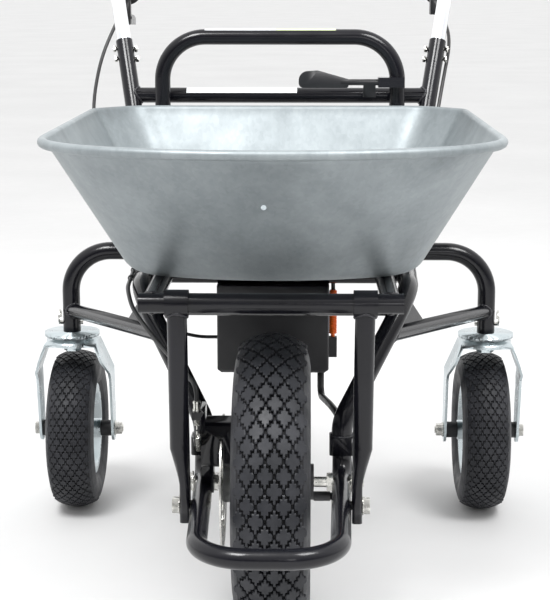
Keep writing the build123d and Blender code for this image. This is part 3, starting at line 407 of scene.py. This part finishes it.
class Net:
    """A geometry tree with one geometry in, named sizes and a material, and one geometry out."""

    def __init__(self, name, **sizes):
        self.tree = bpy.data.node_groups.new(name, "GeometryNodeTree")
        face = self.tree.interface
        face.new_socket(name="Geometry", in_out="OUTPUT", socket_type="NodeSocketGeometry")
        face.new_socket(name="Geometry", in_out="INPUT", socket_type="NodeSocketGeometry")
        for label, default in sizes.items():
            kind = "NodeSocketInt" if isinstance(default, int) else "NodeSocketFloat"
            face.new_socket(name=label, in_out="INPUT", socket_type=kind).default_value = default
        face.new_socket(name="finish", in_out="INPUT", socket_type="NodeSocketMaterial")
        self.given = self.tree.nodes.new("NodeGroupInput").outputs
        self.index = self.add("GeometryNodeInputIndex")["Index"]

    def add(self, kind, inputs=None, **settings):
        """Add a node, set or link its inputs, and return its outputs."""
        node = self.tree.nodes.new(kind)
        for key, value in settings.items():
            setattr(node, key, value)
        for key, value in (inputs or {}).items():
            if isinstance(value, bpy.types.NodeSocket):
                self.tree.links.new(value, node.inputs[key])
            else:
                node.inputs[key].default_value = value
        return node.outputs

    def math(self, operation, a, b=0.0):
        """The result of a sum on two numbers or sockets."""
        return self.add("ShaderNodeMath", {0: a, 1: b}, operation=operation)["Value"]

    def vector(self, x, y, z):
        """A vector from three numbers or sockets."""
        return self.add("ShaderNodeCombineXYZ", {"X": x, "Y": y, "Z": z})["Vector"]

    def turned(self, outward, forward):
        """A rotation with Z along one vector and Y along another."""
        kind = "FunctionNodeAlignRotationToVector"
        up = self.add(kind, {"Vector": outward}, axis="Z")["Rotation"]
        return self.add(kind, {"Rotation": up, "Vector": forward}, axis="Y", pivot_axis="Z")["Rotation"]

    def finish(self, points, instance, rotation=None, scale=None):
        """Put an instance on each point, make the copies real and give them their material."""
        wires = {"Points": points, "Instance": instance}
        if rotation is not None:
            wires["Rotation"] = rotation
        if scale is not None:
            wires["Scale"] = scale
        copies = self.add("GeometryNodeInstanceOnPoints", wires)["Instances"]
        real = self.add("GeometryNodeRealizeInstances", {"Geometry": copies})["Geometry"]
        done = self.add("GeometryNodeSetMaterial", {"Geometry": real, "Material": self.given["finish"]})
        out = self.tree.nodes.new("NodeGroupOutput")
        self.tree.links.new(done["Geometry"], out.inputs["Geometry"])
        return self.tree


def tread_tree():
    """Blocks in staggered rows round a tyre about X, laid on a crown that curves across."""
    net = Net("tread", rows=72, columns=5, pitch=0.02, radius=0.2, crown=0.07)
    given = net.given
    count = net.math("MULTIPLY", given["rows"], given["columns"])
    line = net.add("GeometryNodeMeshLine", {"Count": count})["Mesh"]
    row = net.math("FLOOR", net.math("DIVIDE", net.math("ADD", net.index, 0.5), given["columns"]))
    column = net.math("SUBTRACT", net.index, net.math("MULTIPLY", row, given["columns"]))
    middle = net.math("MULTIPLY", net.math("SUBTRACT", given["columns"], 1.0), 0.5)
    stagger = net.math("SUBTRACT", net.math("MULTIPLY", net.math("MODULO", row, 2.0), 0.5), 0.25)
    steps_across = net.math("ADD", net.math("SUBTRACT", column, middle), stagger)
    across = net.math("MULTIPLY", steps_across, given["pitch"])
    lean = net.math("DIVIDE", across, given["crown"])
    drop = net.math("MULTIPLY", given["crown"], net.math("SUBTRACT", 1.0, net.math("COSINE", lean)))
    reach = net.math("SUBTRACT", given["radius"], drop)
    angle = net.math("MULTIPLY", net.math("DIVIDE", row, given["rows"]), math.tau)
    sine, cosine = net.math("SINE", angle), net.math("COSINE", angle)
    sideways = net.math("MULTIPLY", given["crown"], net.math("SINE", lean))
    spot = net.vector(sideways, net.math("MULTIPLY", reach, sine), net.math("MULTIPLY", reach, cosine))
    flat = net.math("COSINE", lean)
    round_y, round_z = net.math("MULTIPLY", flat, sine), net.math("MULTIPLY", flat, cosine)
    outward = net.vector(net.math("SINE", lean), round_y, round_z)
    forward = net.vector(0.0, cosine, net.math("MULTIPLY", sine, -1.0))
    points = net.add("GeometryNodeSetPosition", {"Geometry": line, "Position": spot})["Geometry"]
    return net.finish(points, given["Geometry"], net.turned(outward, forward))


def ring_tree():
    """Copies of a piece evenly round the X axis; a piece is made at the top, outward along Z."""
    net = Net("ring", count=6, radius=0.02)
    line = net.add("GeometryNodeMeshLine", {"Count": net.given["count"]})["Mesh"]
    angle = net.math("MULTIPLY", net.math("DIVIDE", net.index, net.given["count"]), math.tau)
    sine, cosine = net.math("SINE", angle), net.math("COSINE", angle)
    radius = net.given["radius"]
    spot = net.vector(0.0, net.math("MULTIPLY", radius, sine), net.math("MULTIPLY", radius, cosine))
    points = net.add("GeometryNodeSetPosition", {"Geometry": line, "Position": spot})["Geometry"]
    forward = net.vector(0.0, cosine, net.math("MULTIPLY", sine, -1.0))
    return net.finish(points, net.given["Geometry"], net.turned(net.vector(0.0, sine, cosine), forward))


def row_tree():
    """Copies of a piece in a straight row."""
    net = Net("row", count=10, step_x=0.0, step_y=0.0, step_z=0.01)
    step = net.vector(net.given["step_x"], net.given["step_y"], net.given["step_z"])
    line = net.add("GeometryNodeMeshLine", {"Count": net.given["count"], "Offset": step})["Mesh"]
    return net.finish(line, net.given["Geometry"])


def weld_tree():
    """Overlapping beads of weld metal along the loops of a mesh, each a little different."""
    net = Net("weld", pitch=0.0022, bead=0.0026, seed=4)
    loops = net.add("GeometryNodeMeshToCurve", {"Mesh": net.given["Geometry"]})["Curve"]
    pitch, seed = net.given["pitch"], net.given["seed"]
    spots = net.add("GeometryNodeResampleCurve", {"Curve": loops, "Length": pitch}, mode="LENGTH")
    ball = net.add("GeometryNodeMeshIcoSphere", {"Radius": net.given["bead"], "Subdivisions": 2})["Mesh"]
    vary = net.add("FunctionNodeRandomValue", {2: 0.82, 3: 1.08, "Seed": seed}, data_type="FLOAT")
    return net.finish(spots["Curve"], ball, scale=vary[1])


def grow(name, tree, mesh, finish, **sizes):
    """A plain mesh object from a tree, a starting mesh and the tree's named sizes."""
    obj = link(name, mesh)
    modifier = obj.modifiers.new("grow", "NODES")
    modifier.node_group = tree
    for item in tree.interface.items_tree:
        if item.in_out != "INPUT":
            continue
        if item.name in sizes:
            modifier[item.identifier] = sizes[item.name]
        elif item.name == "finish":
            modifier[item.identifier] = finish
    return plain(obj, name)


tread_net, ring_net, row_net, weld_net = tread_tree(), ring_tree(), row_tree(), weld_tree()

# ============================================================================
# CAD pieces whose shape stays: merged, smoothly shaded copies
# ============================================================================

replaced_later = {"tray", "drive_tyre", "caster_tyre_left", "caster_tyre_right", "grips", "battery_lead"}


def refine(node):
    """A copy of a CAD node with merged points and smooth shading over its round faces."""
    mesh = frame["nodes"][node].data.copy()
    work = bmesh.new()
    work.from_mesh(mesh)
    bmesh.ops.remove_doubles(work, verts=work.verts, dist=2e-6)
    work.to_mesh(mesh)
    work.free()
    mesh.name = f"{node}_finished"
    piece = link(f"{node}_finished", shaded(mesh))
    return finished(piece, body_of[node], slot_of[node], replaces=[node])


for node in sorted(frame["nodes"]):
    if node not in replaced_later:
        refine(node)

# The spacers between a caster's hub and its yoke are black plastic.
yoke_inner_half = 57.9 * MM
for side in ("left", "right"):
    axle_piece = bpy.data.objects[f"caster_axle_{side}_finished"]
    axle_piece.data.materials.append(materials["black_plastic"])
    wheel_low, wheel_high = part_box(f"caster_tyre_{side}")
    wheel_x = (wheel_low.x + wheel_high.x) / 2
    for face in axle_piece.data.polygons:
        if abs(face.center.x - wheel_x) < yoke_inner_half:
            face.material_index = 1

# ============================================================================
# Tyres
# ============================================================================

shoulder_share = 0.84  # of a tyre's half width, where the crown meets the side
crown_fall_share = 0.07  # of the radius, from the crown's middle to the shoulder
bead_share = 0.66  # of the bed's half width, at the bead's inner face
rib_height, rib_spread = 0.6 * MM, 1.1 * MM
tread_margin = 0.4 * MM

def tyre_profile(bed, lip, half_bed, half_width, radius, wall, groove):
    """A tyre's section: beads, ribbed sides and a crown lowered by the tread's depth."""
    belly = (lip + radius) / 2
    shoulder = (half_width * shoulder_share, radius * (1 - crown_fall_share))
    edge = (shoulder[0] * 0.985, shoulder[1] - groove * 0.35)
    side = arc((half_bed, lip), (half_width, belly), edge, 28)
    ribs = (lip + (radius - lip) * 0.16, lip + (radius - lip) * 0.50, lip + (radius - lip) * 0.72)
    ribbed = []
    for x, r in side:
        rise = sum(math.exp(-(((r - rib) / rib_spread) ** 2)) for rib in ribs)
        ribbed.append((x + rib_height * rise, r))
    crown = arc(edge, (0, radius - groove), (-edge[0], edge[1]), 24)[1:-1]
    bead_x = half_bed * bead_share
    inside = arc((bead_x, lip), (half_width - wall, belly), (0, radius - wall - groove), 8)
    outer = [(half_bed, bed)] + ribbed + crown + [(-x, r) for x, r in ribbed[::-1]] + [(-half_bed, bed)]
    inner = [(-bead_x, bed)] + [(-x, r) for x, r in inside[:-1]] + inside[::-1] + [(bead_x, bed)]
    return outer + inner


def tread_block(name, half_x, half_y, height, bevel, steps):
    """A diamond block with stepped sides and a chamfered top face at the local origin."""
    quarter = []
    for i in range(steps):
        quarter.append(((i + 0.5) / steps, 1 - i / steps))
        quarter.append(((i + 0.5) / steps, 1 - (i + 1) / steps) if i < steps - 1 else (1.0, 0.5 / steps))
    outline = quarter + [(x, -y) for x, y in quarter[::-1]]
    outline += [(-x, -y) for x, y in quarter] + [(-x, y) for x, y in quarter[::-1]]
    rings = ((1.0, -height), (1.0, -bevel), (1 - bevel / half_x, 0.0))
    verts = [(x * half_x * size, y * half_y * size, z) for size, z in rings for x, y in outline]
    count = len(outline)
    faces = [tuple(range(2 * count, 3 * count))]
    for ring in range(len(rings) - 1):
        for i in range(count):
            base, after = ring * count, (i + 1) % count
            faces.append((base + i, base + after, base + count + after, base + count + i))
    return new_mesh(name, verts, faces)


def make_tyre(node, sizes, tread, groove, segments):
    """A tyre with its moulded blocks, in place of its plain CAD solid."""
    low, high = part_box(node)
    centre = (low + high) / 2
    carcass = shaded(lathe(f"{node}_carcass", tyre_profile(*sizes, groove), along_x(centre), segments), 50)
    half_y = tread["half_y"]
    block = tread_block("block", tread["half_x"], half_y, groove * 1.5, tread["bevel"], tread["steps"])
    radius, half = sizes[4], sizes[3] * shoulder_share
    fall = radius * crown_fall_share
    crown = (half ** 2 + fall ** 2) / (2 * fall)
    blocks = grow(f"{node}_blocks", tread_net, block, materials["tyre"], rows=tread["rows"],
                  columns=tread["columns"], pitch=tread["pitch"], crown=crown,
                  radius=radius - tread_margin - half_y ** 2 / (2 * radius))
    blocks.data.transform(Matrix.Translation(centre))
    tyre = finished(link(f"{node}_carcass", carcass), body_of[node], "tyre", replaces=[node])
    # The carcass faces between the tread blocks take the painted groove shade, darker than the tyre's own
    # rubber.
    tyre.data.materials.append(groove_painted_shade)
    for face in carcass.polygons:
        spot = face.center - centre
        if math.hypot(spot.y, spot.z) > radius - fall - 1.2 * groove and abs(spot.x) < half * 0.97:
            face.material_index = 1
    finished(blocks, body_of[node], "tyre")


drive_sizes = (98 * MM, 112 * MM, 36 * MM, 50 * MM, 200 * MM, 8 * MM)
drive_tread = {
    "rows": 66, "columns": 4, "pitch": 23.6 * MM, "half_x": 9.4 * MM, "half_y": 15.2 * MM, "bevel": 1.1 * MM,
    "steps": 3,
}
make_tyre("drive_tyre", drive_sizes, drive_tread, 6.5 * MM, 160)
caster_sizes = (62 * MM, 74 * MM, 28 * MM, 38 * MM, 130 * MM, 6 * MM)
caster_tread = {
    "rows": 76, "columns": 5, "pitch": 13.6 * MM, "half_x": 5.1 * MM, "half_y": 8.3 * MM, "bevel": 0.7 * MM,
    "steps": 2,
}
for side in ("left", "right"):
    make_tyre(f"caster_tyre_{side}", caster_sizes, caster_tread, 3 * MM, 128)

# ============================================================================
# Tray: pressed sheet with a rolled rim
# ============================================================================

tray_wall = 2 * MM
bead_r = 5.5 * MM
drain_r = 3.5 * MM
rim_half, rim_front, rim_rear = 288 * MM, at(0, -209, 660), at(0, 560, 651)
floor_half, floor_front, floor_rear = 192 * MM, at(0, -25, 475.7), at(0, 470, 475.7)


def rounded_loop(half_points, bends, arc_steps=10, run_steps=6):
    """A closed outline from the points of its +X half, with every corner rounded."""
    points = [Vector(p) for p in half_points] + [Vector((-x, y)) for x, y in half_points[::-1]]
    radii = bends + bends[::-1]
    count = len(points)
    corners = []
    for i, point in enumerate(points):
        into = (point - points[i - 1]).normalized()
        out = (points[(i + 1) % count] - point).normalized()
        turn = into.angle(out)
        reach = radii[i] * math.tan(turn / 2)
        sign = 1 if into.x * out.y - into.y * out.x > 0 else -1
        start = point - into * reach
        centre = start + Vector((-into.y, into.x)) * radii[i] * sign
        arm = start - centre
        swept = []
        for step in range(arc_steps + 1):
            angle = sign * turn * step / arc_steps
            cosine, sine = math.cos(angle), math.sin(angle)
            swept.append(centre + Vector((arm.x * cosine - arm.y * sine, arm.x * sine + arm.y * cosine)))
        corners.append(swept)
    loop = []
    for i, corner in enumerate(corners):
        loop += corner
        ahead = corners[(i + 1) % count][0]
        loop += [corner[-1].lerp(ahead, step / run_steps) for step in range(1, run_steps)]
    return loop


def make_tray():
    """The tray's sheet: floor, a pressed radius, sloping walls and a rim rolled outward."""
    run, deep = (rim_rear - rim_front).y, (floor_rear - floor_front).y
    rim_loop = rounded_loop(
        [(0.100, 0), (rim_half, 0.094), (rim_half, run - 0.067), (rim_half - 0.060, run)],
        [0.400, 0.172, 0.030, 0.060])
    floor_loop = rounded_loop(
        [(0.068, 0), (floor_half, 0.050), (floor_half, deep - 0.040), (floor_half - 0.036, deep)],
        [0.300, 0.078, 0.018, 0.036])
    tilt = (rim_rear.z - rim_front.z) / run
    rim = [Vector((p.x, rim_front.y + p.y, rim_front.z + tilt * p.y)) for p in rim_loop]
    base = [Vector((p.x, floor_front.y + p.y, floor_front.z)) for p in floor_loop]
    count = len(rim)
    middle = Vector((0, (floor_front.y + floor_rear.y) / 2, floor_front.z))
    sections = []
    for i in range(count):
        foot, top = base[i], rim[i]
        ahead = rim[(i + 1) % count] - rim[i - 1]
        outward = Vector((ahead.y, -ahead.x, 0)).normalized()
        wall = top - foot
        inward = (middle - foot).normalized()
        section = [middle.lerp(foot, share) for share in (0.25, 0.5, 0.7, 0.8)]
        knee_in, knee_out = foot + inward * 0.022, foot + wall.normalized() * 0.022
        for step in range(7):
            share = step / 6
            section.append(knee_in.lerp(foot, share).lerp(foot.lerp(knee_out, share), share))
        section += [knee_out.lerp(top, step / 14) for step in range(1, 14)]
        centre = top + outward * bead_r
        for step in range(13):
            angle = math.radians(180 - 300 * step / 12)
            section.append(centre + (outward * math.cos(angle) + Vector((0, 0, math.sin(angle)))) * bead_r)
        sections.append(section)
    verts = [middle] + [point for section in sections for point in section]
    size = len(sections[0])
    faces = []
    for i in range(count):
        here, there = 1 + i * size, 1 + (i + 1) % count * size
        faces.append((0, here, there))
        for j in range(size - 1):
            faces.append((here + j, here + j + 1, there + j + 1, there + j))
    tray = link("tray_sheet", new_mesh("tray_sheet", verts, faces))
    wall_maker = tray.modifiers.new("sheet", "SOLIDIFY")
    wall_maker.thickness = tray_wall
    wall_maker.offset = 0.0
    drain_profile = [(-0.05, 0.0001), (-0.05, drain_r), (0.05, drain_r), (0.05, 0.0001)]
    drain_mesh = lathe("drain_cutter", drain_profile, along(at(-8, -135, 589), (0, 1, 0)), 24)
    drain = link("drain_cutter", drain_mesh)
    cutter = tray.modifiers.new("drain", "BOOLEAN")
    cutter.operation = "DIFFERENCE"
    cutter.object = drain
    tray = plain(tray, "tray_sheet")
    cutter_mesh = drain.data
    bpy.data.objects.remove(drain)
    bpy.data.meshes.remove(cutter_mesh)
    shaded(tray.data, 40)
    return finished(tray, body_of["tray"], "galvanised", replaces=["tray"])


make_tray()

# ============================================================================
# Welds at the tubes' joints
# ============================================================================


def saddle(joint, run, run_r, main, main_r, steps=40):
    """The loop where a tube that leaves a joint along run meets the tube along main."""
    run, main = Vector(run).normalized(), Vector(main).normalized()
    side = run.cross(main).normalized()
    up = side.cross(run)
    loop = []
    for step in range(steps):
        angle = math.tau * step / steps
        offset = side * (run_r * math.cos(angle)) + up * (run_r * math.sin(angle))
        across_offset = offset - main * offset.dot(main)
        across_run = run - main * run.dot(main)
        a, b = across_run.length_squared, across_offset.dot(across_run)
        c = across_offset.length_squared - main_r ** 2
        reach = (-b + math.sqrt(max(b * b - a * c, 0))) / a
        loop.append(joint + offset + run * reach)
    return loop


def ring(point, axis, radius, steps=40):
    """A plain loop round an axis."""
    place = along(point, axis)
    turns = (math.tau * step / steps for step in range(steps))
    return [place @ Vector((0, radius * math.cos(angle), radius * math.sin(angle))) for angle in turns]


def weld_mesh(name, loops):
    """The edges of several closed loops."""
    verts, edges = [], []
    for loop in loops:
        start = len(verts)
        verts += [tuple(point) for point in loop]
        edges += [(start + i, start + (i + 1) % len(loop)) for i in range(len(loop))]
    mesh = bpy.data.meshes.new(name)
    mesh.from_pydata(verts, edges, [])
    return mesh


def both_sides(loops):
    """Loops on the +X side with their mirror images."""
    return loops + [[Vector((-p.x, p.y, p.z)) for p in loop] for loop in loops]


rail_r, tube_r, brace_r, cross_r, sleeve_r = 14 * MM, 12.7 * MM, 11 * MM, 11 * MM, 17 * MM
arch_joint, brace_foot = at(200, 470, 434), at(332, 470, 337)
rail_foot, rail_knee = at(93, 30, 276), at(187, 130, 434)
riser_foot, riser_top = at(204, 537, 434), at(264, 690, 756)
riser_run = riser_top - riser_foot
rail_rise = rail_knee - rail_foot
brace_head = rail_foot + rail_rise * ((380 * MM - rail_foot.z) / rail_rise.z)
bar_joint = riser_foot + riser_run * ((668 * MM - riser_foot.z) / riser_run.z)
frame_loops = [
    saddle(arch_joint, (0, -1, 0), rail_r, (1, 0, 0), rail_r),
    saddle(arch_joint, (0, 1, 0), rail_r, (1, 0, 0), rail_r),
    saddle(brace_foot, brace_head - brace_foot, brace_r, (0, 0, 1), rail_r),
    saddle(brace_head, brace_foot - brace_head, brace_r, rail_rise, rail_r),
    saddle(bar_joint, (-1, 0, 0), tube_r, riser_run, rail_r),
    saddle(at(118, -100, 463), (0, 0, -1), tube_r, (1, 0, 0), sleeve_r),
    ring(at(93, 30, 232), (0, 0, 1), tube_r),
    ring(at(93, 30, 256), (0, 0, 1), rail_r),
]
for cross_y, cross_x in ((253, 191.7), (393, 197.1)):
    frame_loops.append(saddle(at(cross_x, cross_y, 434), (-1, 0, 0), cross_r, (0, 1, 0), rail_r))
tray_loops = [
    saddle(at(150, -100, 463), (0, 1, 0), tube_r, (1, 0, 0), tube_r),
    saddle(at(150, 600, 463), (0, -1, 0), tube_r, (1, 0, 0), tube_r),
    saddle(at(192, 600, 463), (-1, 0, 0), tube_r, (0, 0, 1), tube_r),
]
for name, loops, body in (("frame_welds", frame_loops, "frame"), ("tray_welds", tray_loops, "tray_body")):
    welds = grow(name, weld_net, weld_mesh(name, both_sides(loops)), weld_paint)
    shaded(welds.data, 60)
    finished(welds, body, "black_paint", weld_paint)

# ============================================================================
# Blank label strips
# ============================================================================


def strip(name, x0, x1, y, z, tube, low, high, body, material):
    """A thin blank label wrapped on a tube along X, from one angle above the front to another."""
    skin = tube + 0.25 * MM
    steps, verts, faces = 10, [], []
    for x in (x0, x1):
        for depth in (tube - 0.5 * MM, skin):
            for step in range(steps + 1):
                angle = math.radians(low + (high - low) * step / steps)
                verts.append(at(x, y, z) + Vector((0, -depth * math.cos(angle), depth * math.sin(angle))))
    row = steps + 1
    for i in range(steps):
        faces.append((row + i, row + i + 1, 3 * row + i + 1, 3 * row + i))
        faces.append((i, i + 1, 2 * row + i + 1, 2 * row + i))
        faces.append((i, i + 1, row + i + 1, row + i))
        faces.append((2 * row + i, 2 * row + i + 1, 3 * row + i + 1, 3 * row + i))
    faces += [(0, row, 3 * row, 2 * row), (steps, row + steps, 3 * row + steps, 2 * row + steps)]
    label = link(name, shaded(new_mesh(name, verts, faces), 40))
    finished(label, body, "black_plastic", material)


strip("hoop_label_white", -122, -6, 600, 766, tube_r, 58, 125, "tray_body", label_white)
strip("hoop_label_green", -5.6, 91, 600, 766, tube_r, 58, 125, "tray_body", label_green)
bar_y = (bar_joint.y - axle.y) / MM
strip("crossbar_label", -156, 28, bar_y, 668, tube_r, 22, 95, "frame", label_white)

# ============================================================================
# Grips and sleeves
# ============================================================================


def make_grips():
    """Ribbed rubber grips with a thumb flange and a domed end."""
    meshes = []
    for hand in (-1, 1):
        profile = [(0, 11.7), (0, 24.5), (1.2, 26), (3.8, 26), (5, 24.5), (6, 18)]
        ribs = 13
        for rib in range(ribs):
            start = 9 + rib * 7.6
            profile += [(start, 16.0), (start + 1.2, 17), (start + 4.2, 17), (start + 5.4, 16.0)]
        profile += [(110, 17), (115, 16.4), (117.4, 14), (118, 10), (118, 0.01), (114, 0.01), (114, 11.7)]
        place = along(at(hand * 279.28, 894.7, 838), (0, 1, 0))
        meshes.append(lathe("grip", [(x * MM, r * MM) for x, r in profile], place, 48))
    grips = joined("grips_ribbed", meshes)
    shaded(grips.data, 38)
    finished(grips, "frame", "rubber", replaces=["grips"])


make_grips()


def make_corrugated_sleeve():
    """The orange sleeve on the battery lead: a row of round ribs on a thin core."""
    low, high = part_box("battery_lead")
    centre = (low + high) / 2
    pitch = 2.6 * MM
    foot = low.z + 5 * MM
    count = int((high.z - foot) / pitch)
    radius = (high.x - low.x) / 2
    rib_depth, rib_steps = 1.1 * MM, 6
    swing = [math.pi * step / rib_steps for step in range(rib_steps + 1)]
    rib = [(0, radius - 2 * MM)]
    rib += [
        (pitch * (0.5 - 0.42 * math.cos(angle)), radius - rib_depth + rib_depth * math.sin(angle))
        for angle in swing
    ]
    rib.append((pitch, radius - 2 * MM))
    up = along(Vector((0, 0, 0)), (0, 0, 1))
    ribs = grow("battery_sleeve_ribs", row_net, lathe("rib", rib, up, 32), materials["orange_plastic"],
                count=count, step_x=0.0, step_y=0.0, step_z=pitch)
    ribs.data.transform(Matrix.Translation((centre.x, centre.y, foot)))
    shaded(ribs.data, 50)
    finished(ribs, "frame", "orange_plastic", replaces=["battery_lead"])
    core = [(0, 0.01 * MM), (0, 3 * MM), (5 * MM, 3 * MM), (5 * MM, radius - 1.6 * MM),
            (high.z - low.z, radius - 1.6 * MM), (high.z - low.z, 0.01 * MM)]
    place = along(Vector((centre.x, centre.y, low.z)), (0, 0, 1))
    finished(link("battery_sleeve_core", shaded(lathe("core", core, place, 32))), "frame", "orange_plastic")


make_corrugated_sleeve()

# ============================================================================
# Small parts: brake wire and spring, cable ends and screws
# ============================================================================


def wire(name, points, radius, sides=10):
    """A round wire along a line of points."""
    verts, faces = [], []
    side = None
    for i, point in enumerate(points):
        run = (points[min(i + 1, len(points) - 1)] - points[max(i - 1, 0)]).normalized()
        side = run.orthogonal() if side is None else side - run * side.dot(run)
        side.normalize()
        across = run.cross(side)
        for step in range(sides):
            angle = math.tau * step / sides
            verts.append(point + (side * math.cos(angle) + across * math.sin(angle)) * radius)
    for i in range(len(points) - 1):
        for step in range(sides):
            here, there = i * sides, (i + 1) * sides
            after = (step + 1) % sides
            faces.append((here + step, here + after, there + after, there + step))
    faces += [tuple(range(sides)), tuple(range(len(verts) - sides, len(verts)))]
    return new_mesh(name, verts, faces)


def coil(start, length, radius, turns, per_turn=20):
    """Points of a spring that climbs from a start point."""
    count = turns * per_turn
    points = []
    for i in range(count + 1):
        angle = math.tau * i / per_turn
        offset = Vector((radius * math.cos(angle), radius * math.sin(angle), length * i / count))
        points.append(start + offset)
    return points


wire_x, wire_y = -96, -71
wire_end = wire("brake_wire_end", [at(wire_x, wire_y, z) for z in (284, 286, 289)], 1.1 * MM)
finished(link("brake_wire_end", shaded(wire_end)), "caliper_arm_body", "bright_steel")
inner_wire = wire("brake_inner_wire", [at(wire_x, wire_y, z) for z in (291, 296, 301, 304.5)], 0.7 * MM)
finished(link("brake_inner_wire", shaded(inner_wire)), "frame", "bright_steel")
spring = wire("brake_spring", coil(at(wire_x, wire_y, 296.5), 8.5 * MM, 2.9 * MM, 5), 0.45 * MM, 6)
finished(link("brake_spring", shaded(spring)), "frame", "bright_steel")
ferrule = [(0, 3.2), (0, 5.2), (3, 5.2), (3, 4.3), (9, 4.3), (10, 5.0), (13, 5.0), (14, 3.2)]
ferrule_place = along(at(wire_x, wire_y, 316), (0, 0, 1))
ferrule = lathe("brake_ferrule", [(x * MM, r * MM) for x, r in ferrule], ferrule_place, 32)
finished(link("brake_ferrule", shaded(ferrule)), "frame", "bright_steel")

screw = [(-1.5, 0.01), (-1.5, 3.6), (1.2, 3.6), (2.0, 2.9), (2.0, 1.6), (0.9, 1.3), (0.9, 0.01)]
screw = lathe("screw", [(x * MM, r * MM) for x, r in screw], along_x(Vector((0, 0, 0))), 20)
cover_face_x, screw_circle_r = 36 * MM, 72 * MM
screw_steel = materials["bright_steel"]
screws = grow("motor_cover_screws", ring_net, screw, screw_steel, count=8, radius=screw_circle_r)
screws.data.transform(Matrix.Translation((cover_face_x, axle.y, axle.z)))
shaded(screws.data)
finished(screws, "drive_wheel", "bright_steel")
